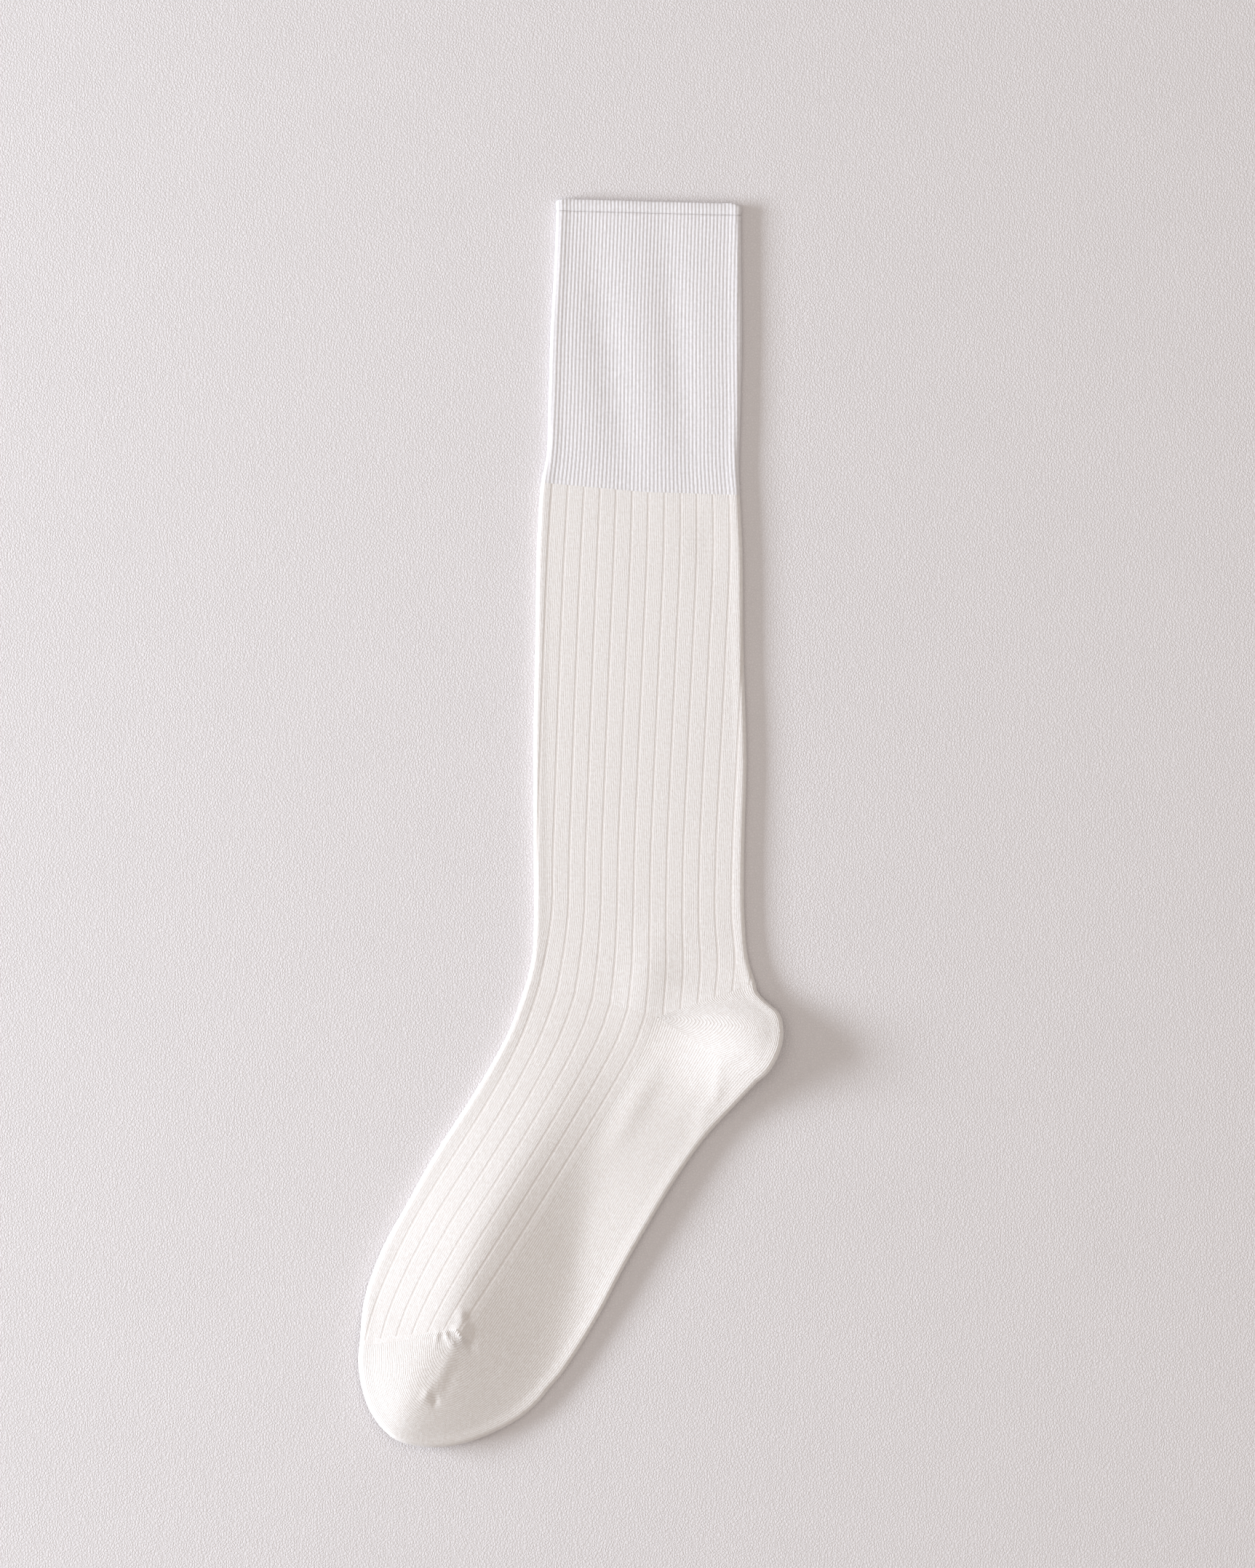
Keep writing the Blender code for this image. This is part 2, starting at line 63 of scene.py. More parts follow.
# Lengths and widths of the zones, in metres
LEG_LENGTH = 0.2058
CUFF_LENGTH = 0.1092
WELT_LENGTH = 0.0048
FOOT_LENGTH = 0.1947
LEG_WIDTH = 0.0824
CUFF_WIDTH = 0.0724
FOOT_WIDTH = 0.0849
HEEL_DEPTH = 0.0499
TOE_DEPTH = 0.0490
FOOT_LEAN = math.radians(33.0)
SEAM_WIDTH = 0.0020

# The fabric: its walls, how it turns round the folded edges, how far in a lifted fold lifts the
# underside, the unit of the folds' heights, and the angle past which an edge is shaded sharp
WALL = 0.0010
CUFF_WALL = 0.0012
WELT_WALL = 0.0015
EDGE_RADIUS = 0.0019
FLAT_SHARE = 0.88
RIM_STEP = 0.00022
RIM_WIDTH = 0.0040
LIFT_REACH = 0.0180
FOLD_HEIGHT = 0.0010
SHARP_ANGLE = math.radians(62)
ALMOST_ONE = 1 - 1e-9

# The knit: needles round the tube and in a wide rib, the instep's first and last needle, the reach
# of a groove in needles, the power that sharpens the cuff's ribs, the height of a course, a gore's
# eye, the share of a gore's end where its bend fades, the share of a pocket's reach at which its
# courses are counted, the course where the welt starts, its round corner and outward roll, and the
# toe seam's rise, puckers, stitches and overlap
NEEDLES = 200
RIB_NEEDLES = 8
INSTEP = (-92, 4)
GROOVE_REACH = 0.55
CUFF_RIB_POWER = 1.2
COURSE = 0.00062
GORE_EYE = 0.00035
GORE_START = 0.62
ARC_SHARE = 0.75
WELT_START = (LEG_LENGTH + CUFF_LENGTH) / COURSE
WELT_CORNER = 0.0018
WELT_ROLL = 0.00030
SEAM_RISE = 0.00020
SEAM_PUCKER = 0.00012
SEAM_STITCHES = 48
SEAM_KNOT = 0.045

# How finely the zones are drawn: points for each needle on top and underneath, the first and last
# needle on top, and each zone's rows, which are closer in the leg's share beside the ankle
TOP_POINTS = 4
UNDER_POINTS = 2
LEG_TOP = (-63, 53)
CUFF_TOP = (-60, 50)
FOOT_TOP = (-60, 54)
ANKLE_SHARE = 0.3
ANKLE_ROWS = 56
LEG_ROWS = 63
CUFF_ROWS = 110
WELT_ROWS = 14
FOOT_ROWS = 118
HEEL_ROWS = 150
TOE_ROWS = 210
TOE_WALES = 52

# One row for each section of the leg and cuff, from the ankle up. Along is a share of the zone's
# length. The front edge, middle line and back edge lie at shares of the width, and the two edges
# are raised by shares of it. Groove is the dropped needle's distance from the middle line, and
# rib the width of a rib of eight needles, as shares of the width. The width is the leg's and the
# cuff's in the last share.
LEG_COLUMNS = ("zone", "along", "front", "middle", "back", "front_up", "back_up", "groove", "rib",
               "leg_part")
LEG_SECTIONS = (
    ("leg", 0.000, -0.619, 0.000, 0.467, 0.176, 0.163, -0.057, 0.0872, 1.0),
    ("leg", 0.075, -0.597, -0.014, 0.433, 0.093, 0.093, -0.026, 0.0837, 1.0),
    ("leg", 0.179, -0.586, -0.035, 0.416, 0.030, 0.035, 0.000, 0.0782, 1.0),
    ("leg", 0.317, -0.588, -0.055, 0.415, 0.005, 0.007, 0.026, 0.0775, 1.0),
    ("leg", 0.483, -0.590, -0.066, 0.426, 0.000, 0.000, 0.054, 0.0780, 1.0),
    ("leg", 0.691, -0.581, -0.066, 0.412, 0.010, 0.000, 0.077, 0.0787, 1.0),
    ("leg", 0.913, -0.569, -0.059, 0.405, 0.030, -0.010, 0.092, 0.0783, 1.0),
    ("leg", 1.000, -0.553, -0.053, 0.394, 0.045, -0.014, 0.088, 0.0765, 1.0),
    ("cuff", 0.090, -0.536, -0.052, 0.395, 0.040, -0.014, 0.086, 0.0753, 0.9),
    ("cuff", 0.300, -0.545, -0.052, 0.417, 0.025, -0.014, 0.090, 0.0763, 0.6),
    ("cuff", 0.550, -0.556, -0.051, 0.441, 0.018, -0.014, 0.092, 0.0779, 0.3),
    ("cuff", 0.800, -0.550, -0.047, 0.450, 0.015, -0.013, 0.098, 0.0790, 0.1),
    ("cuff", 1.000, -0.547, -0.045, 0.453, 0.014, -0.012, 0.107, 0.0797, 0.0),
)

# One row for each section of the foot, from the ankle to the toe seam, in shares of the foot's
# length and width. The two edges lie further along the foot by shares of its width.
FOOT_COLUMNS = ("along", "front", "middle", "back", "front_on", "back_on", "groove", "rib")
FOOT_SECTIONS = (
    (0.000, -0.597, 0.000, 0.550, 0.184, -0.005, -0.0554, 0.0846),
    (0.066, -0.569, 0.002, 0.522, 0.140, 0.000, -0.0210, 0.0839),
    (0.146, -0.542, 0.004, 0.491, 0.084, 0.000, -0.0060, 0.0802),
    (0.242, -0.525, 0.007, 0.480, 0.034, 0.000, 0.0000, 0.0772),
    (0.351, -0.517, 0.010, 0.487, 0.004, 0.000, 0.0030, 0.0759),
    (0.461, -0.518, 0.015, 0.502, 0.000, 0.000, 0.0030, 0.0762),
    (0.564, -0.503, 0.015, 0.525, 0.030, 0.000, 0.0050, 0.0759),
    (0.659, -0.470, 0.010, 0.532, 0.150, 0.000, 0.0090, 0.0735),
    (0.705, -0.422, 0.008, 0.530, 0.220, 0.000, 0.0100, 0.0725),
    (0.748, -0.332, 0.005, 0.517, 0.294, 0.000, 0.0120, 0.0722),
)

# Outline of the heel pocket: the angle from +X and the reach from the ankle point, as a share of
# the heel's depth
HEEL_OUTLINE = (
    (14.0, 0.815),
    (8.0, 0.868),
    (2.0, 0.957),
    (-5.0, 0.991),
    (-12.0, 1.000),
    (-19.0, 0.991),
    (-26.0, 0.972),
)

# Outline of the toe pocket: shares of the sweep from the seam's front end round the tip to the
# sole, and the reach from the seam's inner end as a share of the toe's depth
TOE_OUTLINE = (
    (0.15, 0.867),
    (0.29, 0.966),
    (0.38, 1.000),
    (0.46, 0.978),
    (0.53, 0.953),
    (0.63, 0.911),
    (0.73, 0.882),
    (0.87, 0.879),
)

# The gores: the angle of the line where the wales turn back, how far to each side the turn is
# felt, how strong it is, and the share of the reach where it ends
HEEL_GORE = {"angle": -6.0, "before": 24.0, "after": 26.0, "bend": 0.36, "ends": 0.62}
TOE_GORE = {"angle": 250.0, "before": 55.0, "after": 50.0, "bend": 0.34, "ends": 0.60}

# Folds and dents of the top layer, one row each: the zone, the centre along and across it as
# shares of its length and width, the turn in degrees, the half length and half width as shares of
# its length and width, and the height in fold heights
FOLD_COLUMNS = ("name", "zone", "along", "across", "turn", "half_length", "half_width", "height")
FOLDS = (
    ("heel swell", "leg", -0.070, 0.370, 0.0, 0.095, 0.26, 4.3),
    ("heel edge", "leg", -0.072, 0.620, 0.0, 0.082, 0.27, 6.8),
    ("heel dent", "leg", -0.085, 0.40, 60.0, 0.020, 0.03, -0.25),
    ("ankle hollow", "leg", 0.075, 0.24, 8.0, 0.028, 0.20, -0.5),
    ("ankle fold", "leg", 0.050, -0.06, 14.0, 0.100, 0.10, 0.7),
    ("leg dent", "leg", 0.900, 0.24, 0.0, 0.045, 0.06, -0.2),
    ("cuff roll left", "cuff", 0.480, -0.26, -9.0, 0.420, 0.11, -0.6),
    ("cuff roll right", "cuff", 0.520, 0.10, -6.0, 0.420, 0.09, -0.5),
    ("sole ridge", "foot", 0.173, 0.134, 4.0, 0.100, 0.055, 0.55),
    ("sole crease", "foot", 0.045, 0.400, 28.0, 0.050, 0.030, 0.30),
    ("sole crease below", "foot", 0.115, 0.430, 10.0, 0.045, 0.035, 0.30),
    ("toe nub top", "foot", 0.716, -0.008, 60.0, 0.011, 0.020, 0.7),
    ("toe nub upper", "foot", 0.730, 0.034, 20.0, 0.010, 0.024, 0.8),
    ("toe nub middle", "foot", 0.742, 0.010, 50.0, 0.012, 0.026, 1.0),
    ("toe nub lower", "foot", 0.752, 0.047, 20.0, 0.012, 0.024, 0.8),
    ("toe nub foot", "foot", 0.768, 0.020, 45.0, 0.014, 0.022, 0.6),
    ("toe pleat", "foot", 0.739, 0.072, 40.0, 0.026, 0.020, -0.5),
    ("toe pucker left", "foot", 0.778, -0.052, 20.0, 0.014, 0.012, 0.25),
    ("toe pucker right", "foot", 0.765, -0.016, 48.0, 0.012, 0.012, 0.45),
    ("toe gore", "foot", 0.823, 0.056, 6.0, 0.045, 0.034, 0.35),
    ("toe gore ridge", "foot", 0.845, 0.110, 10.0, 0.030, 0.024, -0.10),
    ("toe dimple", "foot", 0.888, 0.100, 40.0, 0.011, 0.017, -0.6),
    ("toe dimple lip", "foot", 0.886, 0.052, 0.0, 0.016, 0.022, 0.4),
)

# The foot's large form: it rises from the front edge to a crest, falls to a valley and rises again
# to the back edge. Each row gives the distance along, and the place across and the height of those
# four lines. Places are shares of the foot's length and width, and heights are in fold heights.
# The corner is how far across a change of slope is spread.
FORM_CORNER = 0.036
FORM_SECTIONS = (
    (-0.250, -0.60, 0.0, -0.200, 0.0, 0.00, 0.0, 0.45, 0.0),
    (0.000, -0.58, 0.0, -0.200, 0.6, 0.00, 0.7, 0.50, 0.8),
    (0.130, -0.55, 0.0, -0.180, 1.5, 0.03, 1.2, 0.50, 1.4),
    (0.275, -0.52, 0.0, -0.165, 3.3, 0.11, 0.9, 0.48, 1.8),
    (0.445, -0.51, 0.0, -0.148, 5.8, 0.26, -0.3, 0.50, 1.4),
    (0.612, -0.50, 0.2, -0.108, 8.3, 0.43, -0.3, 0.53, 0.6),
    (0.760, -0.48, 0.8, -0.026, 9.9, 0.50, -0.3, 0.53, 0.1),
    (0.909, -0.33, 2.8, 0.000, 9.3, 0.45, -0.4, 0.48, -0.2),
    (1.020, -0.10, 1.2, 0.060, 4.0, 0.34, -0.3, 0.38, -0.1),
)

FOOT_AXIS = np.array([-math.sin(FOOT_LEAN), -math.cos(FOOT_LEAN)])
FOOT_ACROSS = np.array([math.cos(FOOT_LEAN), -math.sin(FOOT_LEAN)])
LEG_AXIS = np.array([0.0, 1.0])
LEG_ACROSS = np.array([1.0, 0.0])

# Where each zone's folds are measured from: origin, direction along, direction across, sizes
ZONES = {
    "leg": (np.zeros(2), LEG_AXIS, LEG_ACROSS, LEG_LENGTH, LEG_WIDTH),
    "cuff": (LEG_AXIS * LEG_LENGTH, LEG_AXIS, LEG_ACROSS, CUFF_LENGTH, CUFF_WIDTH),
    "foot": (np.zeros(2), FOOT_AXIS, FOOT_ACROSS, FOOT_LENGTH, FOOT_WIDTH),
}

# The stage, in metres: half the floor's side, the lamps' distances, sizes and colours, and the
# camera's height with the height and middle of what it sees at the fabric's level
FLOOR_HALF = 2.0
WINDOW_BEARING = math.radians(179.0)
WINDOW_AWAY = 2.7
WINDOW_SIZE = (1.6, 0.66)
WINDOW_COLOUR = (0.925, 1.0, 1.09)
CEILING_HEIGHT = 2.0
CEILING_SIZE = (2.0, 2.0)
ROOM_COLOUR = (1.06, 0.987, 0.927)
EYE_HEIGHT = 2.4
FABRIC_LEVEL = 0.004
VIEW_HEIGHT = 0.6145
VIEW_MIDDLE = (0.0222, 0.0152)
SENSOR = 36.0


def named_rows(columns, rows):
    """The rows of a table as dictionaries of its named columns."""
    return [dict(zip(columns, row)) for row in rows]


def smooth(at, knots, values):
    """Cubic through the knots, whose slope at each knot is that of its two neighbours."""
    knots = np.asarray(knots, float)
    values = np.asarray(values, float)
    slopes = np.gradient(values, knots, axis=0)
    start = np.clip(np.searchsorted(knots, at) - 1, 0, len(knots) - 2)
    span = knots[start + 1] - knots[start]
    u = (at - knots[start]) / span
    tall = (slice(None),) + (None,) * (values.ndim - 1)
    u, span = u[tall], span[tall]
    return (
        values[start] * (1 + 2 * u) * (1 - u) ** 2
        + slopes[start] * span * u * (1 - u) ** 2
        + values[start + 1] * u**2 * (3 - 2 * u)
        - slopes[start + 1] * span * u**2 * (1 - u)
    )


def soft_step(value, start, stop):
    """0 before start and 1 after stop, with a smooth rise between them."""
    t = np.clip((value - start) / (stop - start), 0, 1)
    return t * t * (3 - 2 * t)


def leg_lines(at):
    """Middle line, front edge, back edge, groove and rib width of the leg and cuff at heights."""
    heights, lines = [], []
    for row in named_rows(LEG_COLUMNS, LEG_SECTIONS):
        below = 0.0 if row["zone"] == "leg" else LEG_LENGTH
        height = below + row["along"] * (LEG_LENGTH if row["zone"] == "leg" else CUFF_LENGTH)
        width = row["leg_part"] * LEG_WIDTH + (1 - row["leg_part"]) * CUFF_WIDTH
        heights.append(height)
        lines.append((
            (row["middle"] * width, height),
            (row["front"] * width, height + row["front_up"] * width),
            (row["back"] * width, height + row["back_up"] * width),
            (row["groove"] * width, row["rib"] * width),
        ))
    top = heights[-1]
    inside = np.minimum(at, top)
    beyond = np.maximum(at - top, 0)[:, None] * LEG_AXIS
    middle, front, back, knit = smooth(inside, heights, lines).transpose(1, 0, 2)
    return middle + beyond, front + beyond, back + beyond, knit[:, 0], knit[:, 1]


def foot_lines(at):
    """Middle line, front edge, back edge, groove and rib width at distances along the foot."""
    places, lines = [], []
    for row in named_rows(FOOT_COLUMNS, FOOT_SECTIONS):
        place = row["along"] * FOOT_LENGTH
        front_place = place + row["front_on"] * FOOT_WIDTH
        back_place = place + row["back_on"] * FOOT_WIDTH
        places.append(place)
        lines.append((
            FOOT_AXIS * place + FOOT_ACROSS * row["middle"] * FOOT_WIDTH,
            FOOT_AXIS * front_place + FOOT_ACROSS * row["front"] * FOOT_WIDTH,
            FOOT_AXIS * back_place + FOOT_ACROSS * row["back"] * FOOT_WIDTH,
            (row["groove"] * FOOT_WIDTH, row["rib"] * FOOT_WIDTH),
        ))
    middle, front, back, knit = smooth(at, places, lines).transpose(1, 0, 2)
    return middle, front, back, knit[:, 0], knit[:, 1]


def folds_at(place):
    """Height of all folds and dents at plan points: each is a soft bell, longer one way."""
    height = np.zeros(place.shape[:-1])
    for fold in named_rows(FOLD_COLUMNS, FOLDS):
        origin, axis, side, length, width = ZONES[fold["zone"]]
        centre = origin + axis * fold["along"] * length + side * fold["across"] * width
        turn = math.radians(fold["turn"])
        way = axis * math.cos(turn) + side * math.sin(turn)
        cross = side * math.cos(turn) - axis * math.sin(turn)
        on = (place - centre) @ way / (fold["half_length"] * length)
        off = (place - centre) @ cross / (fold["half_width"] * width)
        height += fold["height"] * FOLD_HEIGHT * np.exp(-(on**2) - off**2)
    return height


def form_at(place):
    """Height of the foot's large form at plan points: three slopes across it that meet softly.

    Each corner bends the slope by a soft ramp, the logarithm of one plus an exponential.
    """
    along = place @ FOOT_AXIS / FOOT_LENGTH
    across = place @ FOOT_ACROSS / FOOT_WIDTH
    rows = np.array(FORM_SECTIONS)
    inside = np.clip(along, rows[0, 0], rows[-1, 0]).ravel()
    lines = smooth(inside, rows[:, 0], rows[:, 1:]).reshape(*along.shape, -1)
    front, low, crest, high, valley, deep, back, lip = np.moveaxis(lines, -1, 0)
    slopes = ((high - low) / (crest - front), (deep - high) / (valley - crest),
              (lip - deep) / (back - valley))
    height = low + slopes[0] * np.maximum(across - front, 0)
    for corner, before, after in ((crest, slopes[0], slopes[1]), (valley, slopes[1], slopes[2])):
        ramp = FORM_CORNER * np.logaddexp(0, (across - corner) / FORM_CORNER)
        height += (after - before) * ramp
    return FOLD_HEIGHT * height


def fabric(middle, edge, around, inset):
    """Points of the folded fabric, inset from its outer face.

    Around is 0 at the top middle, 1 at the outermost line of the fold and 2 underneath at the
    middle. The flat share runs level to the fold's centre, and the rest turns round it as a half
    circle. The top steps down a little beside the rim and follows the large form and the folds. The
    underside lies flat, but rises to the fold where that is lifted, and nothing lies below the floor.
    """
    out = edge - middle
    reach = np.linalg.norm(out, axis=-1)
    out = out / reach[..., None]
    share = 1 - np.abs(1 - around)
    level = np.minimum(share / FLAT_SHARE, 1)
    turn = np.clip((share - FLAT_SHARE) / (1 - FLAT_SHARE), 0, 1) * math.pi / 2
    distance = level * (reach - EDGE_RADIUS) + (EDGE_RADIUS - inset) * np.sin(turn)
    place = middle + out * distance[..., None]
    from_fold = (reach - EDGE_RADIUS) * (1 - level)
    step = RIM_STEP * soft_step(from_fold, 0, RIM_WIDTH)
    half = (EDGE_RADIUS - inset) * np.cos(turn)
    form = form_at(place) + folds_at(place)
    lift = np.maximum(form, 0) * (1 - soft_step(from_fold, 0, LIFT_REACH))
    height = np.where(around < 1, EDGE_RADIUS + half + form - step, EDGE_RADIUS - half + lift)
    height = np.maximum(height, 0)
    return np.concatenate([place, height[..., None]], axis=-1)


def lay_needles(needles, reach_front, reach_back, groove, rib, back_needle=None):
    """Side and around of each needle on the sections of a tube, all as rows and columns.

    On top a needle lies where its number times the width of a needle, measured along the fabric
    from the groove, puts it. Underneath, the remaining needles share the way back evenly. Where
    the back fold's needle is given, the needles behind the middle share the way to it evenly.
    """
    quarter = EDGE_RADIUS * math.pi / 2
    flat_front = reach_front - EDGE_RADIUS
    flat_back = reach_back - EDGE_RADIUS
    pitch = rib / RIB_NEEDLES
    middle_needle = -groove / pitch
    first = middle_needle - (flat_front + quarter) / pitch
    last = middle_needle + (flat_back + quarter) / pitch
    if back_needle is not None:
        last = np.full_like(last, back_needle)
    back_pitch = (flat_back + quarter) / (last - middle_needle)
    number = (needles - first) % NEEDLES + first
    from_middle = number - middle_needle
    along = from_middle * np.where(from_middle < 0, pitch, back_pitch)
    flat = np.where(along < 0, flat_front, flat_back)
    length = np.abs(along)
    turned = FLAT_SHARE + (1 - FLAT_SHARE) * (length - flat) / quarter
    top = np.where(length < flat, FLAT_SHARE * length / flat, np.minimum(turned, ALMOST_ONE))
    under_length = flat_front + flat_back + 2 * quarter
    walk = (number - last) / (first + NEEDLES - last) * under_length
    at_back = walk < quarter + flat_back
    walk = np.where(at_back, walk, under_length - walk)
    flat = np.where(at_back, flat_back, flat_front)
    turned = (1 - FLAT_SHARE) * walk / quarter
    below = np.where(walk < quarter, turned, 1 - FLAT_SHARE + FLAT_SHARE * (walk - quarter) / flat)
    on_top = number <= last
    side = np.where(on_top, np.sign(along), np.where(at_back, 1, -1))
    return side, np.where(on_top, top, 1 + np.clip(below, 0, 1))


def ring_grid(lines, at, side, around, inset):
    """Points of a tube's fabric where the distance along, side and around are all arrays."""
    middle, front, back = (line.reshape(*at.shape, 2) for line in lines(at.ravel())[:3])
    edge = np.where(side[..., None] < 0, front, back)
    return fabric(middle, edge, around, inset + 0 * around)


def tube_places(lines, at, needles, back_needle=None):
    """Side and around of needles on a tube at distances along it."""
    middle, front, back, groove, rib = (line.reshape(*at.shape, -1) for line in lines(at.ravel()))
    reach_front = np.linalg.norm(front - middle, axis=-1)
    reach_back = np.linalg.norm(back - middle, axis=-1)
    return lay_needles(needles, reach_front, reach_back, groove[..., 0], rib[..., 0], back_needle)


def even_rate(lines, at, side, around):
    """How far a ring's points move, square to the ring, for each metre along the tube."""
    step = 0.0005
    middle, front, back = (line.reshape(*at.shape, 2) for line in lines(at.ravel())[:3])
    out = np.where(side[..., None] < 0, front, back) - middle
    out /= np.linalg.norm(out, axis=-1)[..., None]
    ahead = ring_grid(lines, at + step, side, around, 0.0)
    behind = ring_grid(lines, at - step, side, around, 0.0)
    speed = (ahead - behind) / (2 * step)
    return np.abs(speed[..., 0] * out[..., 1] - speed[..., 1] * out[..., 0])


def wale_furrows(needles, depth):
    """Depth of the furrows between wales: a cosine with its crests on the needles."""
    return depth * (0.5 - 0.5 * np.cos(2 * math.pi * needles))


def rib_grooves(needles, knit):
    """Relief of the wide ribs: a narrow bell at each dropped needle, and wales between them."""
    away = np.abs((needles + RIB_NEEDLES / 2) % RIB_NEEDLES - RIB_NEEDLES / 2)
    bell = np.exp(-((away / GROOVE_REACH) ** 2))
    wales = wale_furrows(needles, knit.wale_depth) * (1 - bell)
    return knit.groove_depth * bell + wales


def foot_relief(needles, knit):
    """Wide ribs over the instep, and plain wales on the sole."""
    number = (needles + NEEDLES / 2) % NEEDLES - NEEDLES / 2
    instep = (number > INSTEP[0]) & (number < INSTEP[1])
    return np.where(instep, rib_grooves(needles, knit), wale_furrows(needles, knit.plain_depth))


def cuff_relief(needles, knit):
    """Narrow ribs of one needle up and one down: a cosine over two needles, raised to a power."""
    wave = 0.5 - 0.5 * np.cos(math.pi * needles)
    return knit.cuff_depth * wave**CUFF_RIB_POWER


def needle_columns(first, last):
    """Needle numbers of a tube's columns, closer between first and last, which show on top."""
    top = np.arange(first * TOP_POINTS, last * TOP_POINTS) / TOP_POINTS
    under = np.arange(last * UNDER_POINTS, (first + NEEDLES) * UNDER_POINTS) / UNDER_POINTS
    return np.concatenate([top, under])


def grid_quads(rows, columns, closed):
    """Corner indices of the quads of a grid. A closed grid's last column meets its first."""
    row = np.arange(rows - 1)[:, None]
    column = np.arange(columns if closed else columns - 1)[None, :]
    after = (column + 1) % columns
    corners = (row * columns + column, row * columns + after,
               (row + 1) * columns + after, (row + 1) * columns + column)
    corners = [np.broadcast_to(corner, (rows - 1, column.size)) for corner in corners]
    return np.stack(corners, -1).reshape(-1, 4)


def zip_rings(outer, outer_at, inner, inner_at, closed):
    """Triangles between two lines of points whose places along them are rising numbers.

    The inner line's places are a part of the outer line's.
    """
    segment = np.searchsorted(inner_at, outer_at[: len(outer) if closed else -1], side="right") - 1
    here = np.arange(len(segment))
    fans = np.stack([outer[here], outer[(here + 1) % len(outer)], inner[segment]], -1)
    steps = np.arange(len(inner) if closed else len(inner) - 1)
    after = (steps + 1) % len(inner)
    meet = np.searchsorted(outer_at, inner_at[after])
    ties = np.stack([outer[meet], inner[after], inner[steps]], -1)
    return np.concatenate([fans, ties])


def fill_mesh(name, points, quads, triangles, quad_uv, material):
    """A mesh object from arrays of points, quads and triangles, with the quads' UVs."""
    mesh = bpy.data.meshes.new(name)
    mesh.vertices.add(len(points))
    mesh.vertices.foreach_set("co", np.asarray(points, np.float32).ravel())
    loops = np.concatenate([quads.ravel(), triangles.ravel()]).astype(np.int32)
    sizes = np.concatenate([np.full(len(quads), 4), np.full(len(triangles), 3)])
    starts = np.concatenate([[0], np.cumsum(sizes)[:-1]]).astype(np.int32)
    mesh.loops.add(len(loops))
    mesh.loops.foreach_set("vertex_index", loops)
    mesh.polygons.add(len(sizes))
    mesh.polygons.foreach_set("loop_start", starts)
    mesh.update(calc_edges=True)
    layer = mesh.uv_layers.new(name="Knit")
    uv = np.zeros((len(loops), 2), np.float32)
    uv[: quad_uv.shape[0]] = quad_uv
    layer.uv.foreach_set("vector", uv.ravel())
    mesh.validate()
    mesh.shade_smooth()
    mesh.set_sharp_from_angle(angle=SHARP_ANGLE)
    mesh.materials.append(material)
    piece = bpy.data.objects.new(name, mesh)
    bpy.context.scene.collection.objects.link(piece)
    return piece


def grid_uv(needles, courses, closed):
    """UVs of a grid's quads, in needles and courses. Both are arrays of rows and columns."""
    if closed:
        needles = np.concatenate([needles, needles[:, :1] + NEEDLES], axis=1)
        courses = np.concatenate([courses, courses[:, :1]], axis=1)
    quads = grid_quads(*needles.shape, closed=False).ravel()
    return np.stack([needles.ravel()[quads], courses.ravel()[quads]], -1)


def faces_outwards(grid):
    """Whether a grid's quads face away from its middle: the sum of their areas times the way out."""
    corner = grid[:-1, :-1]
    normal = np.cross(grid[:-1, 1:] - corner, grid[1:, :-1] - corner)
    return np.sum((corner - grid.mean((0, 1))) * normal) > 0


def shell(name, outer, inner, columns, inner_columns, needles, courses, closed, material):
    """A wall of fabric from an outer grid and a coarser inner one, closed along its edges.

    Columns are the places of the outer grid's columns, and inner columns those of the inner one.
    """
    rows, wide = outer.shape[:2]
    narrow = inner.shape[1]
    start = rows * wide
    outside = grid_quads(rows, wide, closed)
    inside = grid_quads(rows, narrow, closed)[:, ::-1] + start
    outer_index = np.arange(start).reshape(rows, wide)
    inner_index = np.arange(rows * narrow).reshape(rows, narrow) + start
    first = zip_rings(outer_index[0], columns, inner_index[0], inner_columns, closed)
    last = zip_rings(outer_index[-1], columns, inner_index[-1], inner_columns, closed)
    quads = [outside, inside]
    if not closed:
        for column, turned in ((0, False), (-1, True)):
            a, b = outer_index[:, column], inner_index[:, column]
            strip = np.stack([a[:-1], a[1:], b[1:], b[:-1]], -1)
            quads.append(strip[:, ::-1] if turned else strip)
    within = np.searchsorted(columns, inner_columns)
    inside_uv = grid_uv(needles[:, within], courses[:, within], closed).reshape(-1, 4, 2)
    uv = [grid_uv(needles, courses, closed), inside_uv[:, ::-1].reshape(-1, 2)]
    points = np.concatenate([outer.reshape(-1, 3), inner.reshape(-1, 3)])
    points[:, :2] += ANKLE
    quads, uv = np.concatenate(quads), np.concatenate(uv)
    triangles = np.concatenate([first[:, ::-1], last])
    if not faces_outwards(outer):
        turned = [0, 3, 2, 1]
        quads, triangles = quads[:, turned], triangles[:, ::-1]
        uv = uv.reshape(-1, 4, 2)[:, turned].reshape(-1, 2)
    return fill_mesh(name, points, quads, triangles, uv, material)


def place_of_ankle():
    """The ankle point in the frame: the welt's box, less the welt's place above the ankle."""
    low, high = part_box("welt")
    top = np.array([LEG_LENGTH + CUFF_LENGTH + WELT_LENGTH])
    middle, front, back = (line[0] for line in leg_lines(top)[:3])
    highest = max(middle[1], front[1], back[1])
    return np.array([high.x - back[0], high.y - highest])


ANKLE = place_of_ankle()


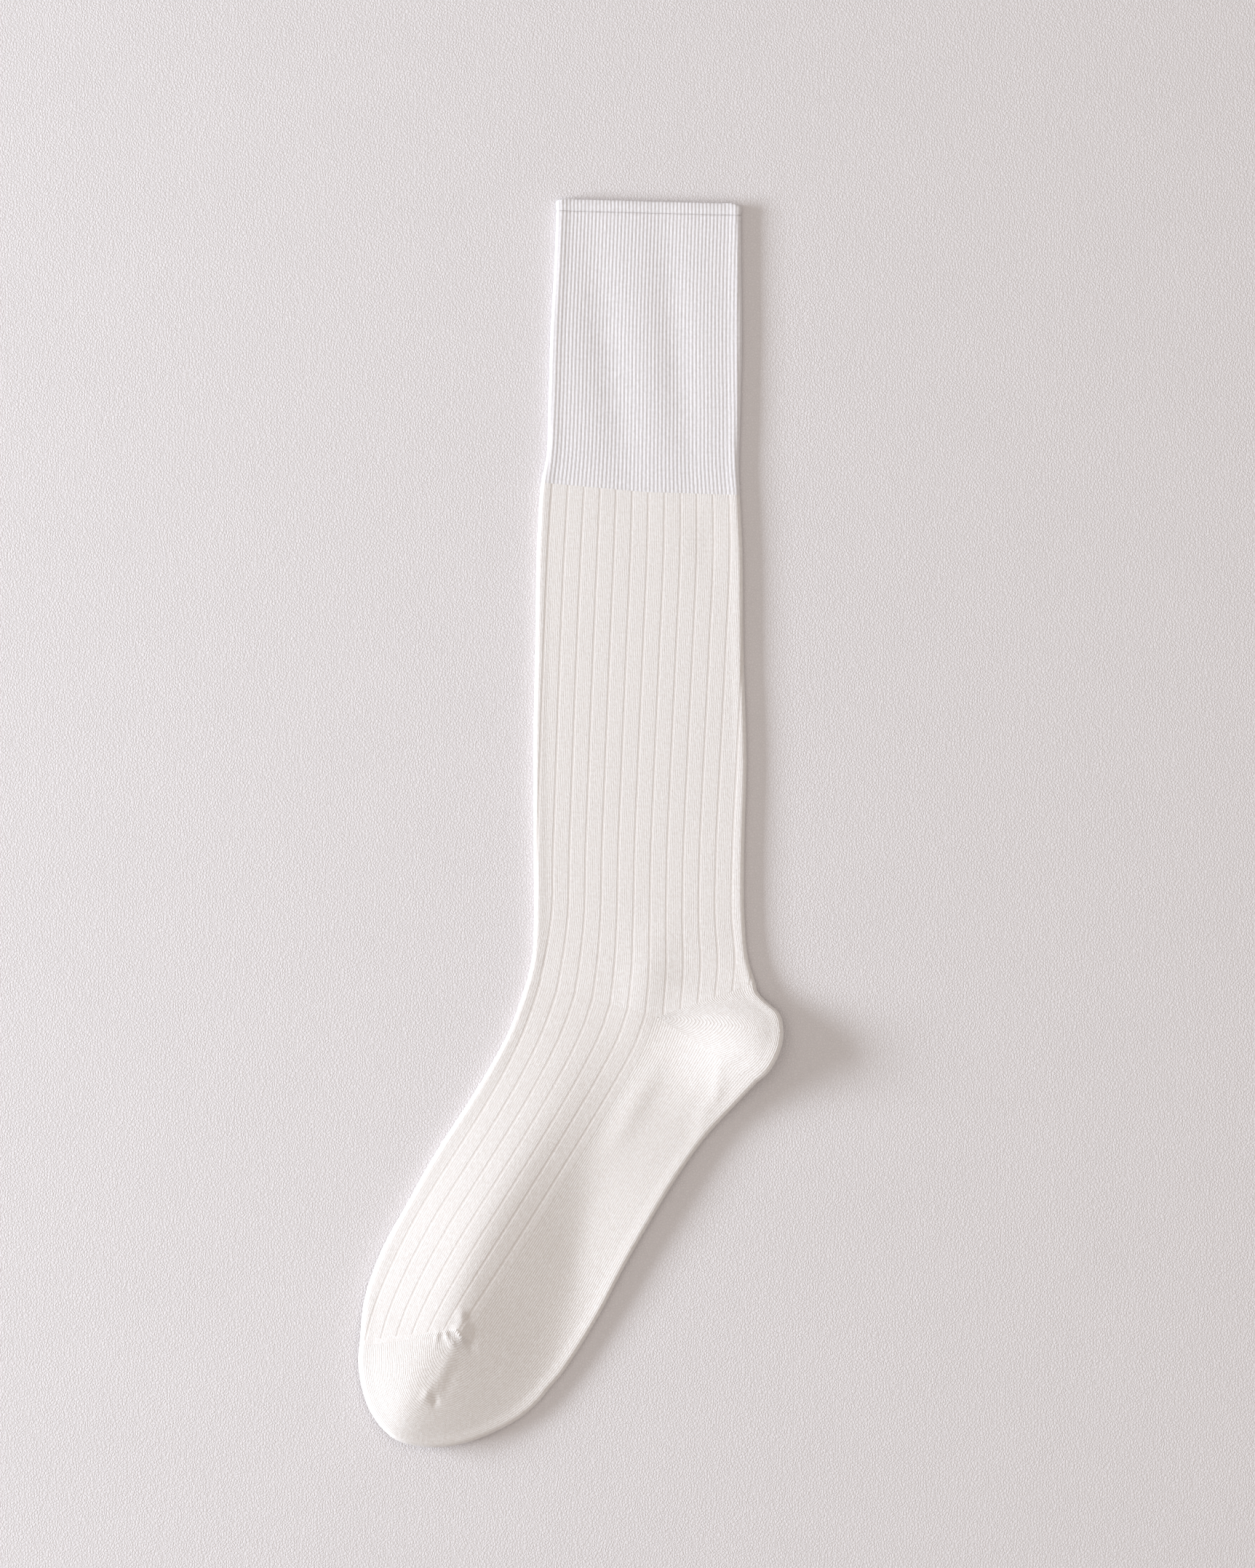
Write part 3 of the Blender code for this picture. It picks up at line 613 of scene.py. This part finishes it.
def make_tube(name, lines, at, needles, relief, wall, material, back_needle=None, end=None,
              roll=0.0):
    """A hollow tube of knit from rows at distances, open at both ends.

    End gives, for the last row's sides and arounds, how far it stops short of its distance. Roll
    is how far each row is sunk, besides the relief of its needles.
    """
    knit = bpy.context.scene.sock_knit
    depth = relief(needles, knit)[None, :] + roll * np.ones((len(at), 1))
    whole = np.flatnonzero(np.isclose(needles % 1, 0))
    along = np.repeat(at[:, None], len(needles), axis=1)
    side, around = tube_places(lines, along, needles[None, :], back_needle)
    if end:
        rate = even_rate(lines, along[-1], side[-1], around[-1])
        short = end(side[-1], around[-1]) / rate
        along -= short[None, :] * (np.linspace(0, 1, len(at)) ** 8)[:, None]
        side, around = tube_places(lines, along, needles[None, :], back_needle)
    outer = ring_grid(lines, along, side, around, depth)
    inner = ring_grid(lines, along[:, whole], side[:, whole], around[:, whole], wall)
    numbers = np.broadcast_to(needles, along.shape)
    return shell(name, outer, inner, needles, needles[whole], numbers, along / COURSE, True, material)


def seam_end(side, around):
    """The foot's end keeps clear of the toe seam on its front half."""
    near_middle = np.minimum(around, 2 - around) * np.where(side < 0, 1, 0)
    return SEAM_WIDTH / 2 * soft_step(near_middle, 0.0, 0.02)


def gore_bend(angles, share, gore):
    """How much further out a wale lies near the gore: most on its line, falling to both sides."""
    off = angles - gore["angle"]
    wide = np.where(off > 0, gore["before"], gore["after"])
    near = np.clip(1 - np.abs(off) / wide, 0, 1)
    fade = 1 - soft_step(share, gore["ends"] * GORE_START, 1.0)
    return gore["bend"] * near[:, None] * fade[None, :]


def make_pocket(name, centre, angles, reaches, gaps, rows, wales, first_needle, gore, material):
    """A turned pocket: half sections fanned about its gore's point, open towards the tubes.

    The rays end on the outline round the centre. They start from a point that keeps the two outer
    rays the given gaps away from the lines to the outline's ends. Its columns follow the wales,
    which lie at even shares of each ray, but further out near the gore's line.
    """
    knit = bpy.context.scene.sock_knit
    first, last = math.radians(angles[0]), math.radians(angles[-1])
    first_way = np.array([math.cos(first), math.sin(first)])
    last_way = np.array([math.cos(last), math.sin(last)])
    spread = abs(math.sin(last - first))
    apex = centre + (first_way * gaps[1] + last_way * gaps[0]) / spread
    turn = math.copysign(1.0, last - first)
    begin = first + turn * math.asin(gaps[0] / reaches[0])
    end = last - turn * math.asin(gaps[1] / reaches[-1])
    sweep = np.linspace(begin, end, rows)
    reach = smooth(sweep * turn, np.radians(angles) * turn, reaches)
    edge = centre + np.column_stack([np.cos(sweep), np.sin(sweep)]) * reach[:, None]
    way = (edge - apex) / np.linalg.norm(edge - apex, axis=1)[:, None]
    middle = apex + way * GORE_EYE

    top = np.arange(0, wales * TOP_POINTS + 1) / TOP_POINTS
    under = np.arange(wales * UNDER_POINTS - 1, -1, -1) / UNDER_POINTS
    counted = np.concatenate([top, under])
    is_under = np.arange(len(counted)) > wales * TOP_POINTS
    share = counted / wales
    bent = share[None, :] * (1 + gore_bend(np.degrees(sweep), share, gore))
    length = np.linalg.norm(edge - middle, axis=1)[:, None]
    quarter = EDGE_RADIUS * math.pi / 2
    flat = length - EDGE_RADIUS
    walk = bent * (flat + quarter)
    turned = FLAT_SHARE + (1 - FLAT_SHARE) * (walk - flat) / quarter
    around = np.where(walk < flat, FLAT_SHARE * walk / flat, turned)
    around = np.clip(around, 0, 1)
    around = np.where(is_under[None, :], 2 - around, np.minimum(around, ALMOST_ONE))
    place = np.arange(len(counted), dtype=float)
    depth = wale_furrows(counted, knit.plain_depth)

    def laid(columns, inset):
        ends = np.broadcast_to(edge[:, None], (rows, len(columns), 2))
        starts = np.broadcast_to(middle[:, None], ends.shape)
        return fabric(starts, ends, around[:, columns], inset)

    every = np.arange(len(counted))
    whole = every[np.isclose(counted % 1, 0)]
    outer = laid(every, np.broadcast_to(depth, around.shape))
    inner = laid(whole, np.full((rows, len(whole)), WALL))
    numbers = np.broadcast_to(first_needle + np.where(is_under, 2 * wales - counted, counted),
                              around.shape)
    arc = np.abs(sweep - sweep[0])[:, None] * (np.mean(reaches) * ARC_SHARE)
    courses = np.broadcast_to(arc / COURSE, around.shape)
    return shell(name, outer, inner, place, place[whole], numbers, courses, False, material)


class Shader:
    """A material's nodes. Its method node is the one way in which a node is made."""

    def __init__(self, name):
        self.material = bpy.data.materials.new(name)
        self.material.use_nodes = True
        self.tree = self.material.node_tree
        self.surface = self.tree.nodes["Principled BSDF"]

    def node(self, kind, settings=None, **values):
        """A node of a type, its settings first, and then the values or links of its sockets."""
        made = self.tree.nodes.new(kind)
        for name, value in (settings or {}).items():
            setattr(made, name, value)
        for name, value in values.items():
            socket = made.inputs[int(name[1:]) if name[1:].isdigit() else name.replace("_", " ")]
            self.feed(socket, value)
        return made

    def feed(self, socket, value):
        if isinstance(value, Wire):
            self.tree.links.new(value.socket, socket)
        else:
            socket.default_value = value

    def wire(self, node, output=0):
        return Wire(self, node.outputs[output])

    def mix(self, factor, first, second):
        """A colour between two, by a factor."""
        made = self.node("ShaderNodeMix", {"data_type": "RGBA"}, _0=factor, _6=first, _7=second)
        return self.wire(made, 2)

    def noise(self, vector, scale, detail=2.0):
        made = self.node("ShaderNodeTexNoise", None, Vector=vector, Scale=scale, Detail=detail)
        return self.wire(made, 0)

    def bump(self, height, distance, strength=1.0):
        made = self.node("ShaderNodeBump", None, Height=height, Distance=distance, Strength=strength)
        return self.wire(made)


class Wire:
    """A value in a shader. Python's operators on it add Math nodes."""

    def __init__(self, shader, socket):
        self.shader = shader
        self.socket = socket

    def math(self, operation, *others):
        values = {f"_{index}": value for index, value in enumerate((self, *others))}
        return self.shader.wire(self.shader.node("ShaderNodeMath", {"operation": operation}, **values))

    def __add__(self, other):
        return self.math("ADD", other)

    __radd__ = __add__

    def __mul__(self, other):
        return self.math("MULTIPLY", other)

    __rmul__ = __mul__

    def __sub__(self, other):
        return self.math("SUBTRACT", other)

    def __rsub__(self, other):
        return self.math("MULTIPLY_ADD", -1.0, other)

    def __truediv__(self, other):
        return self.math("DIVIDE", other)

    def __abs__(self):
        return self.math("ABSOLUTE")

    def part(self):
        """What is left after the whole number."""
        return self.math("FRACT")

    def cosine(self):
        return self.math("COSINE")

    def above(self, limit):
        return self.math("GREATER_THAN", limit)

    def below(self, limit):
        return self.math("LESS_THAN", limit)

    def least(self, other):
        return self.math("MINIMUM", other)

    def most(self, other):
        return self.math("MAXIMUM", other)


def knit_shader(name, light, painted_shade, rib=None, purl=False):
    """Yarn in stitches: each wale is a row of Vs whose two legs lean out from its middle line.

    The stitch's height is a round profile across each leg times a wave along it. Light is the colour
    of the stitch's crest, and the other colour is painted shade: the colour falls from the crest to
    painted shade at the sides of each leg, between the wales and in the gaps. Rib says where grooves
    show, with painted shade in them: 'all' for all round, 'instep' for the front half. Purl paints
    shade on every second wale, the one the cuff's relief lowers, and along the course where the welt
    starts.
    """
    shader = Shader(name)
    knit = bpy.context.scene.sock_knit
    uv = shader.node("ShaderNodeUVMap", {"uv_map": "Knit"})
    parts = shader.node("ShaderNodeSeparateXYZ", None, Vector=shader.wire(uv))
    needle, course = shader.wire(parts, 0), shader.wire(parts, 1)
    coordinates = shader.node("ShaderNodeTexCoord")
    place = shader.wire(coordinates, 3)

    across = (needle + 0.5).part() - 0.5
    off = abs(across)
    leg = off * 4 - 1
    profile = 1 - leg * leg
    wave = ((course + off * 1.7) * (2 * math.pi)).cosine() * 0.5 + 0.5
    stitch = profile * (wave * 0.5 + 0.5)
    furrow = (needle * (2 * math.pi)).cosine() * 0.5 + 0.5
    wide = 0.25 if rib == "all" else 0.50
    # Painted shade: the mix runs from the crest colour on each lit leg of a stitch down to the painted
    # shade colour at its sides and in the furrows between wales; fibre and fuzz below add the yarn's own
    # random tone
    fibre_and_shade = stitch * 0.40 + furrow * wide + (0.42 - wide)
    # Painted shade on every second, lowered wale, and a band of painted shade along the course where the
    # welt starts
    if purl:
        raised = (needle * math.pi).cosine() * 0.5 + 0.5
        hem = (1 - abs(course - WELT_START) * 0.7).most(0.0)
        fibre_and_shade = (stitch * 0.35 + raised * 0.45 + 0.12) * (1 - hem * 0.8)
    # Painted shade in the grooves at dropped needles, varying with each course's rung of yarn across the
    # groove
    if rib:
        away = abs((needle / RIB_NEEDLES + 0.5).part() - 0.5) * RIB_NEEDLES
        groove = (1 - away / 0.9).most(0.0)
        if rib == "instep":
            front = needle.below(float(INSTEP[1])) + needle.above(float(NEEDLES + INSTEP[0]))
            groove = groove * front
        rungs = (course * (2 * math.pi)).cosine() * 0.15 + 0.85
        fibre_and_shade = (fibre_and_shade - groove * rungs * 0.8).most(0.0)
    cloud = shader.noise(place, 60.0, 3.0)
    fibre = shader.noise(place, 2600.0, 2.0)
    fuzz = shader.noise(place, 850.0, 3.0)
    fibre_and_shade = (fibre_and_shade * (fibre * 0.3 + 0.85) + (fuzz - 0.5) * 1.5).least(1.0).most(0.0)
    colour = shader.mix(fibre_and_shade, (*painted_shade, 1.0), (*light, 1.0))
    warm = tuple(c * k for c, k in zip(light, (0.99, 0.965, 0.94)))
    colour = shader.mix((cloud - 0.45).most(0.0) * 0.5, colour, (*warm, 1.0))
    relief = stitch + fibre * 0.35 + fuzz * 2.4
    normal = shader.bump(relief, knit.stitch_height)
    surface = shader.surface
    shader.feed(surface.inputs["Base Color"], colour)
    shader.feed(surface.inputs["Roughness"], fibre * 0.2 + 0.72)
    shader.feed(surface.inputs["Normal"], normal)
    surface.inputs["Specular IOR Level"].default_value = 0.25
    surface.inputs["Sheen Weight"].default_value = 0.25
    surface.inputs["Sheen Roughness"].default_value = 0.45
    return shader.material


def floor_shader(name, colour):
    """Fine pale leather: small pebbles from the distance to cell edges, on slow uneven swells."""
    shader = Shader(name)
    coordinates = shader.node("ShaderNodeTexCoord")
    place = shader.wire(coordinates, 3)
    warp = shader.node("ShaderNodeTexNoise", None, Vector=place, Scale=500.0, Detail=2.0)
    bent = shader.node("ShaderNodeMix", {"data_type": "VECTOR"}, _0=0.0009, _4=place,
                       _5=shader.wire(warp, 1))
    cells = shader.node("ShaderNodeTexVoronoi", {"feature": "DISTANCE_TO_EDGE"},
                        Vector=shader.wire(bent, 1), Scale=900.0)
    edge = (shader.wire(cells) * 4).least(1.0)
    fine = shader.noise(place, 1500.0, 3.0)
    slow = shader.noise(place, 30.0, 2.0)
    height = edge * 0.7 + fine * 0.6
    shade = tuple(c * 0.93 for c in colour)
    tint = shader.mix(edge * 0.6 + slow * 0.4, (*shade, 1.0), (*colour, 1.0))
    surface = shader.surface
    shader.feed(surface.inputs["Base Color"], tint)
    shader.feed(surface.inputs["Roughness"], fine * 0.2 + 0.55)
    shader.feed(surface.inputs["Normal"], shader.bump(height, 0.00016, 0.85))
    surface.inputs["Specular IOR Level"].default_value = 0.2
    return shader.material


# What the properties for lengths and for colours share
LENGTH = {"min": 0, "subtype": "DISTANCE", "unit": "LENGTH"}
COLOUR = {"subtype": "COLOR", "size": 3, "min": 0, "max": 1}


class SockKnit(PropertyGroup):
    wale_depth: FloatProperty(
        name="Wale depth", description="Depth of the furrows between wales",
        default=0.00004, max=0.0005, **LENGTH)
    plain_depth: FloatProperty(
        name="Plain wale depth", description="Depth of the furrows of the heel, toe and sole",
        default=0.00010, max=0.0005, **LENGTH)
    groove_depth: FloatProperty(
        name="Groove depth", description="Depth of the grooves at dropped needles",
        default=0.00012, max=0.0008, **LENGTH)
    cuff_depth: FloatProperty(
        name="Cuff rib depth", description="Depth of the narrow ribs of the cuff",
        default=0.00012, max=0.0008, **LENGTH)
    stitch_height: FloatProperty(
        name="Stitch height", description="Height of the bump of each stitch",
        default=0.00005, max=0.0003, **LENGTH)


class SockYarn(PropertyGroup):
    cream: FloatVectorProperty(
        name="Cream yarn", description="Colour of the leg, foot, heel and toe",
        **COLOUR, default=(0.862, 0.840, 0.832))
    # Painted shade: this darker colour stands in for the shade between the cream stitches and in the
    # grooves
    cream_gap: FloatVectorProperty(
        name="Cream painted shade", description="Colour between the cream stitches",
        **COLOUR, default=(0.735, 0.688, 0.66))
    white: FloatVectorProperty(
        name="White yarn", description="Colour of the cuff and welt",
        **COLOUR, default=(0.835, 0.815, 0.84))
    # Painted shade: this darker colour stands in for the shade between the white ribs and stitches
    white_gap: FloatVectorProperty(
        name="White painted shade", description="Colour between the white ribs",
        **COLOUR, default=(0.68, 0.655, 0.66))


class SockStage(PropertyGroup):
    floor: FloatVectorProperty(
        name="Floor", description="Colour of the floor",
        **COLOUR, default=(0.75, 0.716, 0.722))
    key_power: FloatProperty(
        name="Window power", description="Power of the large window light",
        default=104.0, min=0, unit="POWER")
    key_rise: FloatProperty(
        name="Window height", description="Angle of the window light above the floor",
        default=math.radians(17.0), min=0, max=math.pi / 2, subtype="ANGLE")
    ceiling_power: FloatProperty(
        name="Ceiling power", description="Power of the soft light from above",
        default=11.0, min=0, unit="POWER")
    sky: FloatProperty(
        name="Room light", description="Strength of the even light of the room",
        default=0.42, min=0)


def mount(piece, *nodes, slot):
    """The piece stands for its CAD nodes and rides with the sock."""
    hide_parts(*nodes)
    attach(piece, "root")
    return piece


def yarn_colours(name):
    """Colours of a yarn's crests and of the painted shade in its gaps."""
    yarn = bpy.context.scene.sock_yarn
    return tuple(getattr(yarn, name)), tuple(getattr(yarn, name + "_gap"))


def bearing(start, end):
    """Angle from +X of the way from one plan point to another, in degrees."""
    return math.degrees(math.atan2(end[1] - start[1], end[0] - start[0]))


def ankle_needles():
    """Needle numbers at the ankle point and at the back fold of the ankle's section."""
    middle, _, back, groove, rib = leg_lines(np.array([0.0]))
    pitch = rib[0] / RIB_NEEDLES
    reach = np.linalg.norm(back[0] - middle[0]) - EDGE_RADIUS + EDGE_RADIUS * math.pi / 2
    point = -groove[0] / pitch
    return point, point + reach / pitch


def add_lamp(name, place, size, power, colour):
    """A rectangle of light that faces the origin."""
    lamp = bpy.data.lights.new(name, "AREA")
    lamp.shape = "RECTANGLE"
    lamp.size, lamp.size_y = size
    lamp.energy = power
    lamp.color = colour
    thing = bpy.data.objects.new(name, lamp)
    thing.location = place
    thing.rotation_mode = "QUATERNION"
    thing.rotation_quaternion = place.to_track_quat("Z", "Y")
    bpy.context.scene.collection.objects.link(thing)


class SOCK_OT_leg(Operator):
    """Knits the leg, with wide ribs between dropped needles"""

    bl_idname = "sock.leg"
    bl_label = "Leg"

    def execute(self, context):
        near = np.linspace(0.0, ANKLE_SHARE, ANKLE_ROWS)[:-1]
        at = np.concatenate([near, np.linspace(ANKLE_SHARE, 1.0, LEG_ROWS)]) * LEG_LENGTH
        material = knit_shader("cream wide ribs", *yarn_colours("cream"), rib="all")
        piece = make_tube("leg_knit", leg_lines, at, needle_columns(*LEG_TOP), rib_grooves, WALL,
                          material)
        mount(piece, "leg", slot="cream_rib_knit")
        return {"FINISHED"}


class SOCK_OT_cuff(Operator):
    """Knits the cuff in ribs of one needle up and one down"""

    bl_idname = "sock.cuff"
    bl_label = "Cuff"

    def execute(self, context):
        at = LEG_LENGTH + np.linspace(0.0, 1.0, CUFF_ROWS) * CUFF_LENGTH
        material = knit_shader("white narrow ribs", *yarn_colours("white"), purl=True)
        piece = make_tube("cuff_knit", leg_lines, at, needle_columns(*CUFF_TOP), cuff_relief, CUFF_WALL,
                          material)
        mount(piece, "cuff", slot="white_rib_knit")
        return {"FINISHED"}


def welt_lines(at):
    """The leg's lines, with both edges drawn in at the top so that the welt's corners are round."""
    middle, front, back, groove, rib = leg_lines(at)
    start = LEG_LENGTH + CUFF_LENGTH + WELT_LENGTH - WELT_CORNER
    t = np.clip((at - start) / WELT_CORNER, 0, 1)
    pull = WELT_CORNER * (1 - np.sqrt(1 - t * t))[:, None]
    return middle, front + pull * LEG_ACROSS, back - pull * LEG_ACROSS, groove, rib


class SOCK_OT_welt(Operator):
    """Knits the folded hem round the open top"""

    bl_idname = "sock.welt"
    bl_label = "Welt"

    def execute(self, context):
        at = LEG_LENGTH + CUFF_LENGTH + np.linspace(0.0, 1.0, WELT_ROWS) * WELT_LENGTH
        material = knit_shader("white welt", *yarn_colours("white"), purl=True)
        t = np.linspace(0.0, 1.0, len(at))[:, None]
        roll = WELT_ROLL * (1 - 2 * np.sin(math.pi * t) ** 0.7)
        piece = make_tube("welt_knit", welt_lines, at, needle_columns(*CUFF_TOP), cuff_relief, WELT_WALL,
                          material, roll=roll)
        mount(piece, "welt", slot="white_rib_knit")
        return {"FINISHED"}


class SOCK_OT_foot(Operator):
    """Knits the foot, ribbed over the instep and plain on the sole"""

    bl_idname = "sock.foot"
    bl_label = "Foot"

    def execute(self, context):
        seam_at = FOOT_SECTIONS[-1][0] * FOOT_LENGTH
        at = np.linspace(0.0, seam_at, FOOT_ROWS)
        _, back_needle = ankle_needles()
        material = knit_shader("cream foot", *yarn_colours("cream"), rib="instep")
        piece = make_tube("foot_knit", foot_lines, at, needle_columns(*FOOT_TOP), foot_relief, WALL,
                          material, back_needle, seam_end)
        mount(piece, "foot", slot="cream_rib_knit")
        return {"FINISHED"}


class SOCK_OT_heel(Operator):
    """Knits the turned heel pocket"""

    bl_idname = "sock.heel"
    bl_label = "Heel"

    def execute(self, context):
        ankle = np.array([0.0])
        leg_middle, _, leg_back = (line[0] for line in leg_lines(ankle)[:3])
        foot_middle, _, foot_back = (line[0] for line in foot_lines(ankle)[:3])
        angles = [bearing(leg_middle, leg_back)] + [row[0] for row in HEEL_OUTLINE]
        angles += [bearing(foot_middle, foot_back)]
        reaches = [np.linalg.norm(leg_back - leg_middle)]
        reaches += [row[1] * HEEL_DEPTH for row in HEEL_OUTLINE]
        reaches += [np.linalg.norm(foot_back - foot_middle)]
        point, back = ankle_needles()
        material = knit_shader("cream heel", *yarn_colours("cream"))
        piece = make_pocket("heel_knit", np.zeros(2), angles, reaches, (0.0, 0.0), HEEL_ROWS,
                            round(back - point), point, HEEL_GORE, material)
        mount(piece, "heel", slot="cream_plain_knit")
        return {"FINISHED"}


class SOCK_OT_toe_seam(Operator):
    """Links the seam across the toes, as a low puckered ridge"""

    bl_idname = "sock.toe_seam"
    bl_label = "Toe seam"

    def execute(self, context):
        wide = np.linspace(-0.5, 0.5, 11)[:, None] * SEAM_WIDTH
        run = np.concatenate([np.linspace(-SEAM_KNOT, 0, 10)[:-1], np.linspace(0, 1, 251)[:-1],
                              np.linspace(1, 2, 111)[:-1], np.linspace(2, 2 + SEAM_KNOT, 10)])
        run = np.repeat(run[None, :], len(wide), axis=0)
        side = np.where((run < 0) | (run > 2), 1, -1)
        around = np.where(run < 0, -run, np.where(run > 2, 4 - run, run))
        around = np.where(around == 1, ALMOST_ONE, around)
        at = np.full_like(around, FOOT_SECTIONS[-1][0] * FOOT_LENGTH)
        at = at + wide / even_rate(foot_lines, at, side, around)
        across = (wide / SEAM_WIDTH * 2) ** 2
        stitch = np.cos(2 * math.pi * run * SEAM_STITCHES)
        fade = 1 - soft_step(run, 0.05, 0.6)
        ridge = (1 - across) * (SEAM_RISE * (0.1 + 0.9 * fade) + SEAM_PUCKER * fade * stitch)
        outer = ring_grid(foot_lines, at, side, around, -ridge * (around < 1))
        every = np.arange(0, around.shape[1], 4)
        every = np.append(every, around.shape[1] - 1)
        inner = ring_grid(foot_lines, at[:, every], side[:, every], around[:, every], WALL)
        place = np.arange(around.shape[1], dtype=float)
        numbers = run * SEAM_STITCHES
        material = knit_shader("cream seam", *yarn_colours("cream"))
        piece = shell("toe_seam_knit", outer, inner, place, place[every], numbers, at / COURSE, False,
                      material)
        mount(piece, "toe_seam", slot="cream_plain_knit")
        return {"FINISHED"}


class SOCK_OT_toe(Operator):
    """Knits the turned toe pocket"""

    bl_idname = "sock.toe"
    bl_label = "Toe"

    def execute(self, context):
        seam_at = np.array([FOOT_SECTIONS[-1][0] * FOOT_LENGTH])
        middle, front, back = (line[0] for line in foot_lines(seam_at)[:3])
        start = bearing(middle, front) % 360
        sweep = (bearing(middle, back) - start) % 360
        angles = [start] + [start + row[0] * sweep for row in TOE_OUTLINE] + [start + sweep]
        reaches = [np.linalg.norm(front - middle)]
        reaches += [row[1] * TOE_DEPTH for row in TOE_OUTLINE]
        reaches += [np.linalg.norm(back - middle)]
        material = knit_shader("cream toe", *yarn_colours("cream"))
        piece = make_pocket("toe_knit", middle, angles, reaches, (SEAM_WIDTH / 2, 0.0), TOE_ROWS,
                            TOE_WALES, 0.0, TOE_GORE, material)
        mount(piece, "toe", slot="cream_plain_knit")
        return {"FINISHED"}


class SOCK_OT_stage(Operator):
    """Lays the floor, and places the window light, the room's light and the camera"""

    bl_idname = "sock.stage"
    bl_label = "Stage"

    def execute(self, context):
        stage = context.scene.sock_stage
        ways = ((-1, -1), (1, -1), (1, 1), (-1, 1))
        corners = [(x * FLOOR_HALF, y * FLOOR_HALF, 0.0) for x, y in ways]
        mesh = bpy.data.meshes.new("floor")
        mesh.from_pydata(corners, [], [(0, 1, 2, 3)])
        mesh.materials.append(floor_shader("pale leather", tuple(stage.floor)))
        floor = bpy.data.objects.new("floor", mesh)
        context.scene.collection.objects.link(floor)

        world = bpy.data.worlds.new("room")
        world.use_nodes = True
        background = world.node_tree.nodes["Background"]
        background.inputs["Color"].default_value = (*ROOM_COLOUR, 1.0)
        background.inputs["Strength"].default_value = stage.sky
        context.scene.world = world

        level = math.cos(stage.key_rise)
        way = Vector((math.cos(WINDOW_BEARING) * level, math.sin(WINDOW_BEARING) * level,
                      math.sin(stage.key_rise)))
        add_lamp("window", way * WINDOW_AWAY, WINDOW_SIZE, stage.key_power, WINDOW_COLOUR)
        above = Vector((0.0, 0.0, CEILING_HEIGHT))
        add_lamp("ceiling", above, CEILING_SIZE, stage.ceiling_power, ROOM_COLOUR)

        lens = bpy.data.cameras.new("camera")
        lens.sensor_fit = "VERTICAL"
        lens.sensor_height = SENSOR
        lens.sensor_width = SENSOR
        lens.lens = SENSOR * (EYE_HEIGHT - FABRIC_LEVEL) / VIEW_HEIGHT
        camera = bpy.data.objects.new("camera", lens)
        camera.location = (*VIEW_MIDDLE, EYE_HEIGHT)
        context.scene.collection.objects.link(camera)
        context.scene.camera = camera
        context.scene.view_settings.view_transform = "Standard"
        return {"FINISHED"}


class SOCK_PT_panel(Panel):
    bl_idname = "SOCK_PT_panel"
    bl_label = "Flat knee sock"
    bl_space_type = "VIEW_3D"
    bl_region_type = "UI"
    bl_category = "Sock"

    def draw(self, context):
        for group in (context.scene.sock_knit, context.scene.sock_yarn, context.scene.sock_stage):
            for name in group.bl_rna.properties.keys():
                if name not in ("rna_type", "name"):
                    self.layout.prop(group, name)
        for operator in OPERATORS:
            self.layout.operator(operator.bl_idname)


OPERATORS = (SOCK_OT_stage, SOCK_OT_welt, SOCK_OT_cuff, SOCK_OT_leg, SOCK_OT_foot, SOCK_OT_heel,
             SOCK_OT_toe_seam, SOCK_OT_toe)
GROUPS = {"sock_knit": SockKnit, "sock_yarn": SockYarn, "sock_stage": SockStage}


def register():
    for group in GROUPS.values():
        bpy.utils.register_class(group)
    for name, group in GROUPS.items():
        setattr(bpy.types.Scene, name, PointerProperty(type=group))
    for thing in (*OPERATORS, SOCK_PT_panel):
        bpy.utils.register_class(thing)


def unregister():
    for thing in (SOCK_PT_panel, *reversed(OPERATORS)):
        bpy.utils.unregister_class(thing)
    for name, group in GROUPS.items():
        delattr(bpy.types.Scene, name)
        bpy.utils.unregister_class(group)


def main():
    register()
    for name in ("stage", "welt", "cuff", "leg", "foot", "heel", "toe_seam", "toe"):
        getattr(bpy.ops.sock, name)()


if __name__ == "__main__":
    main()
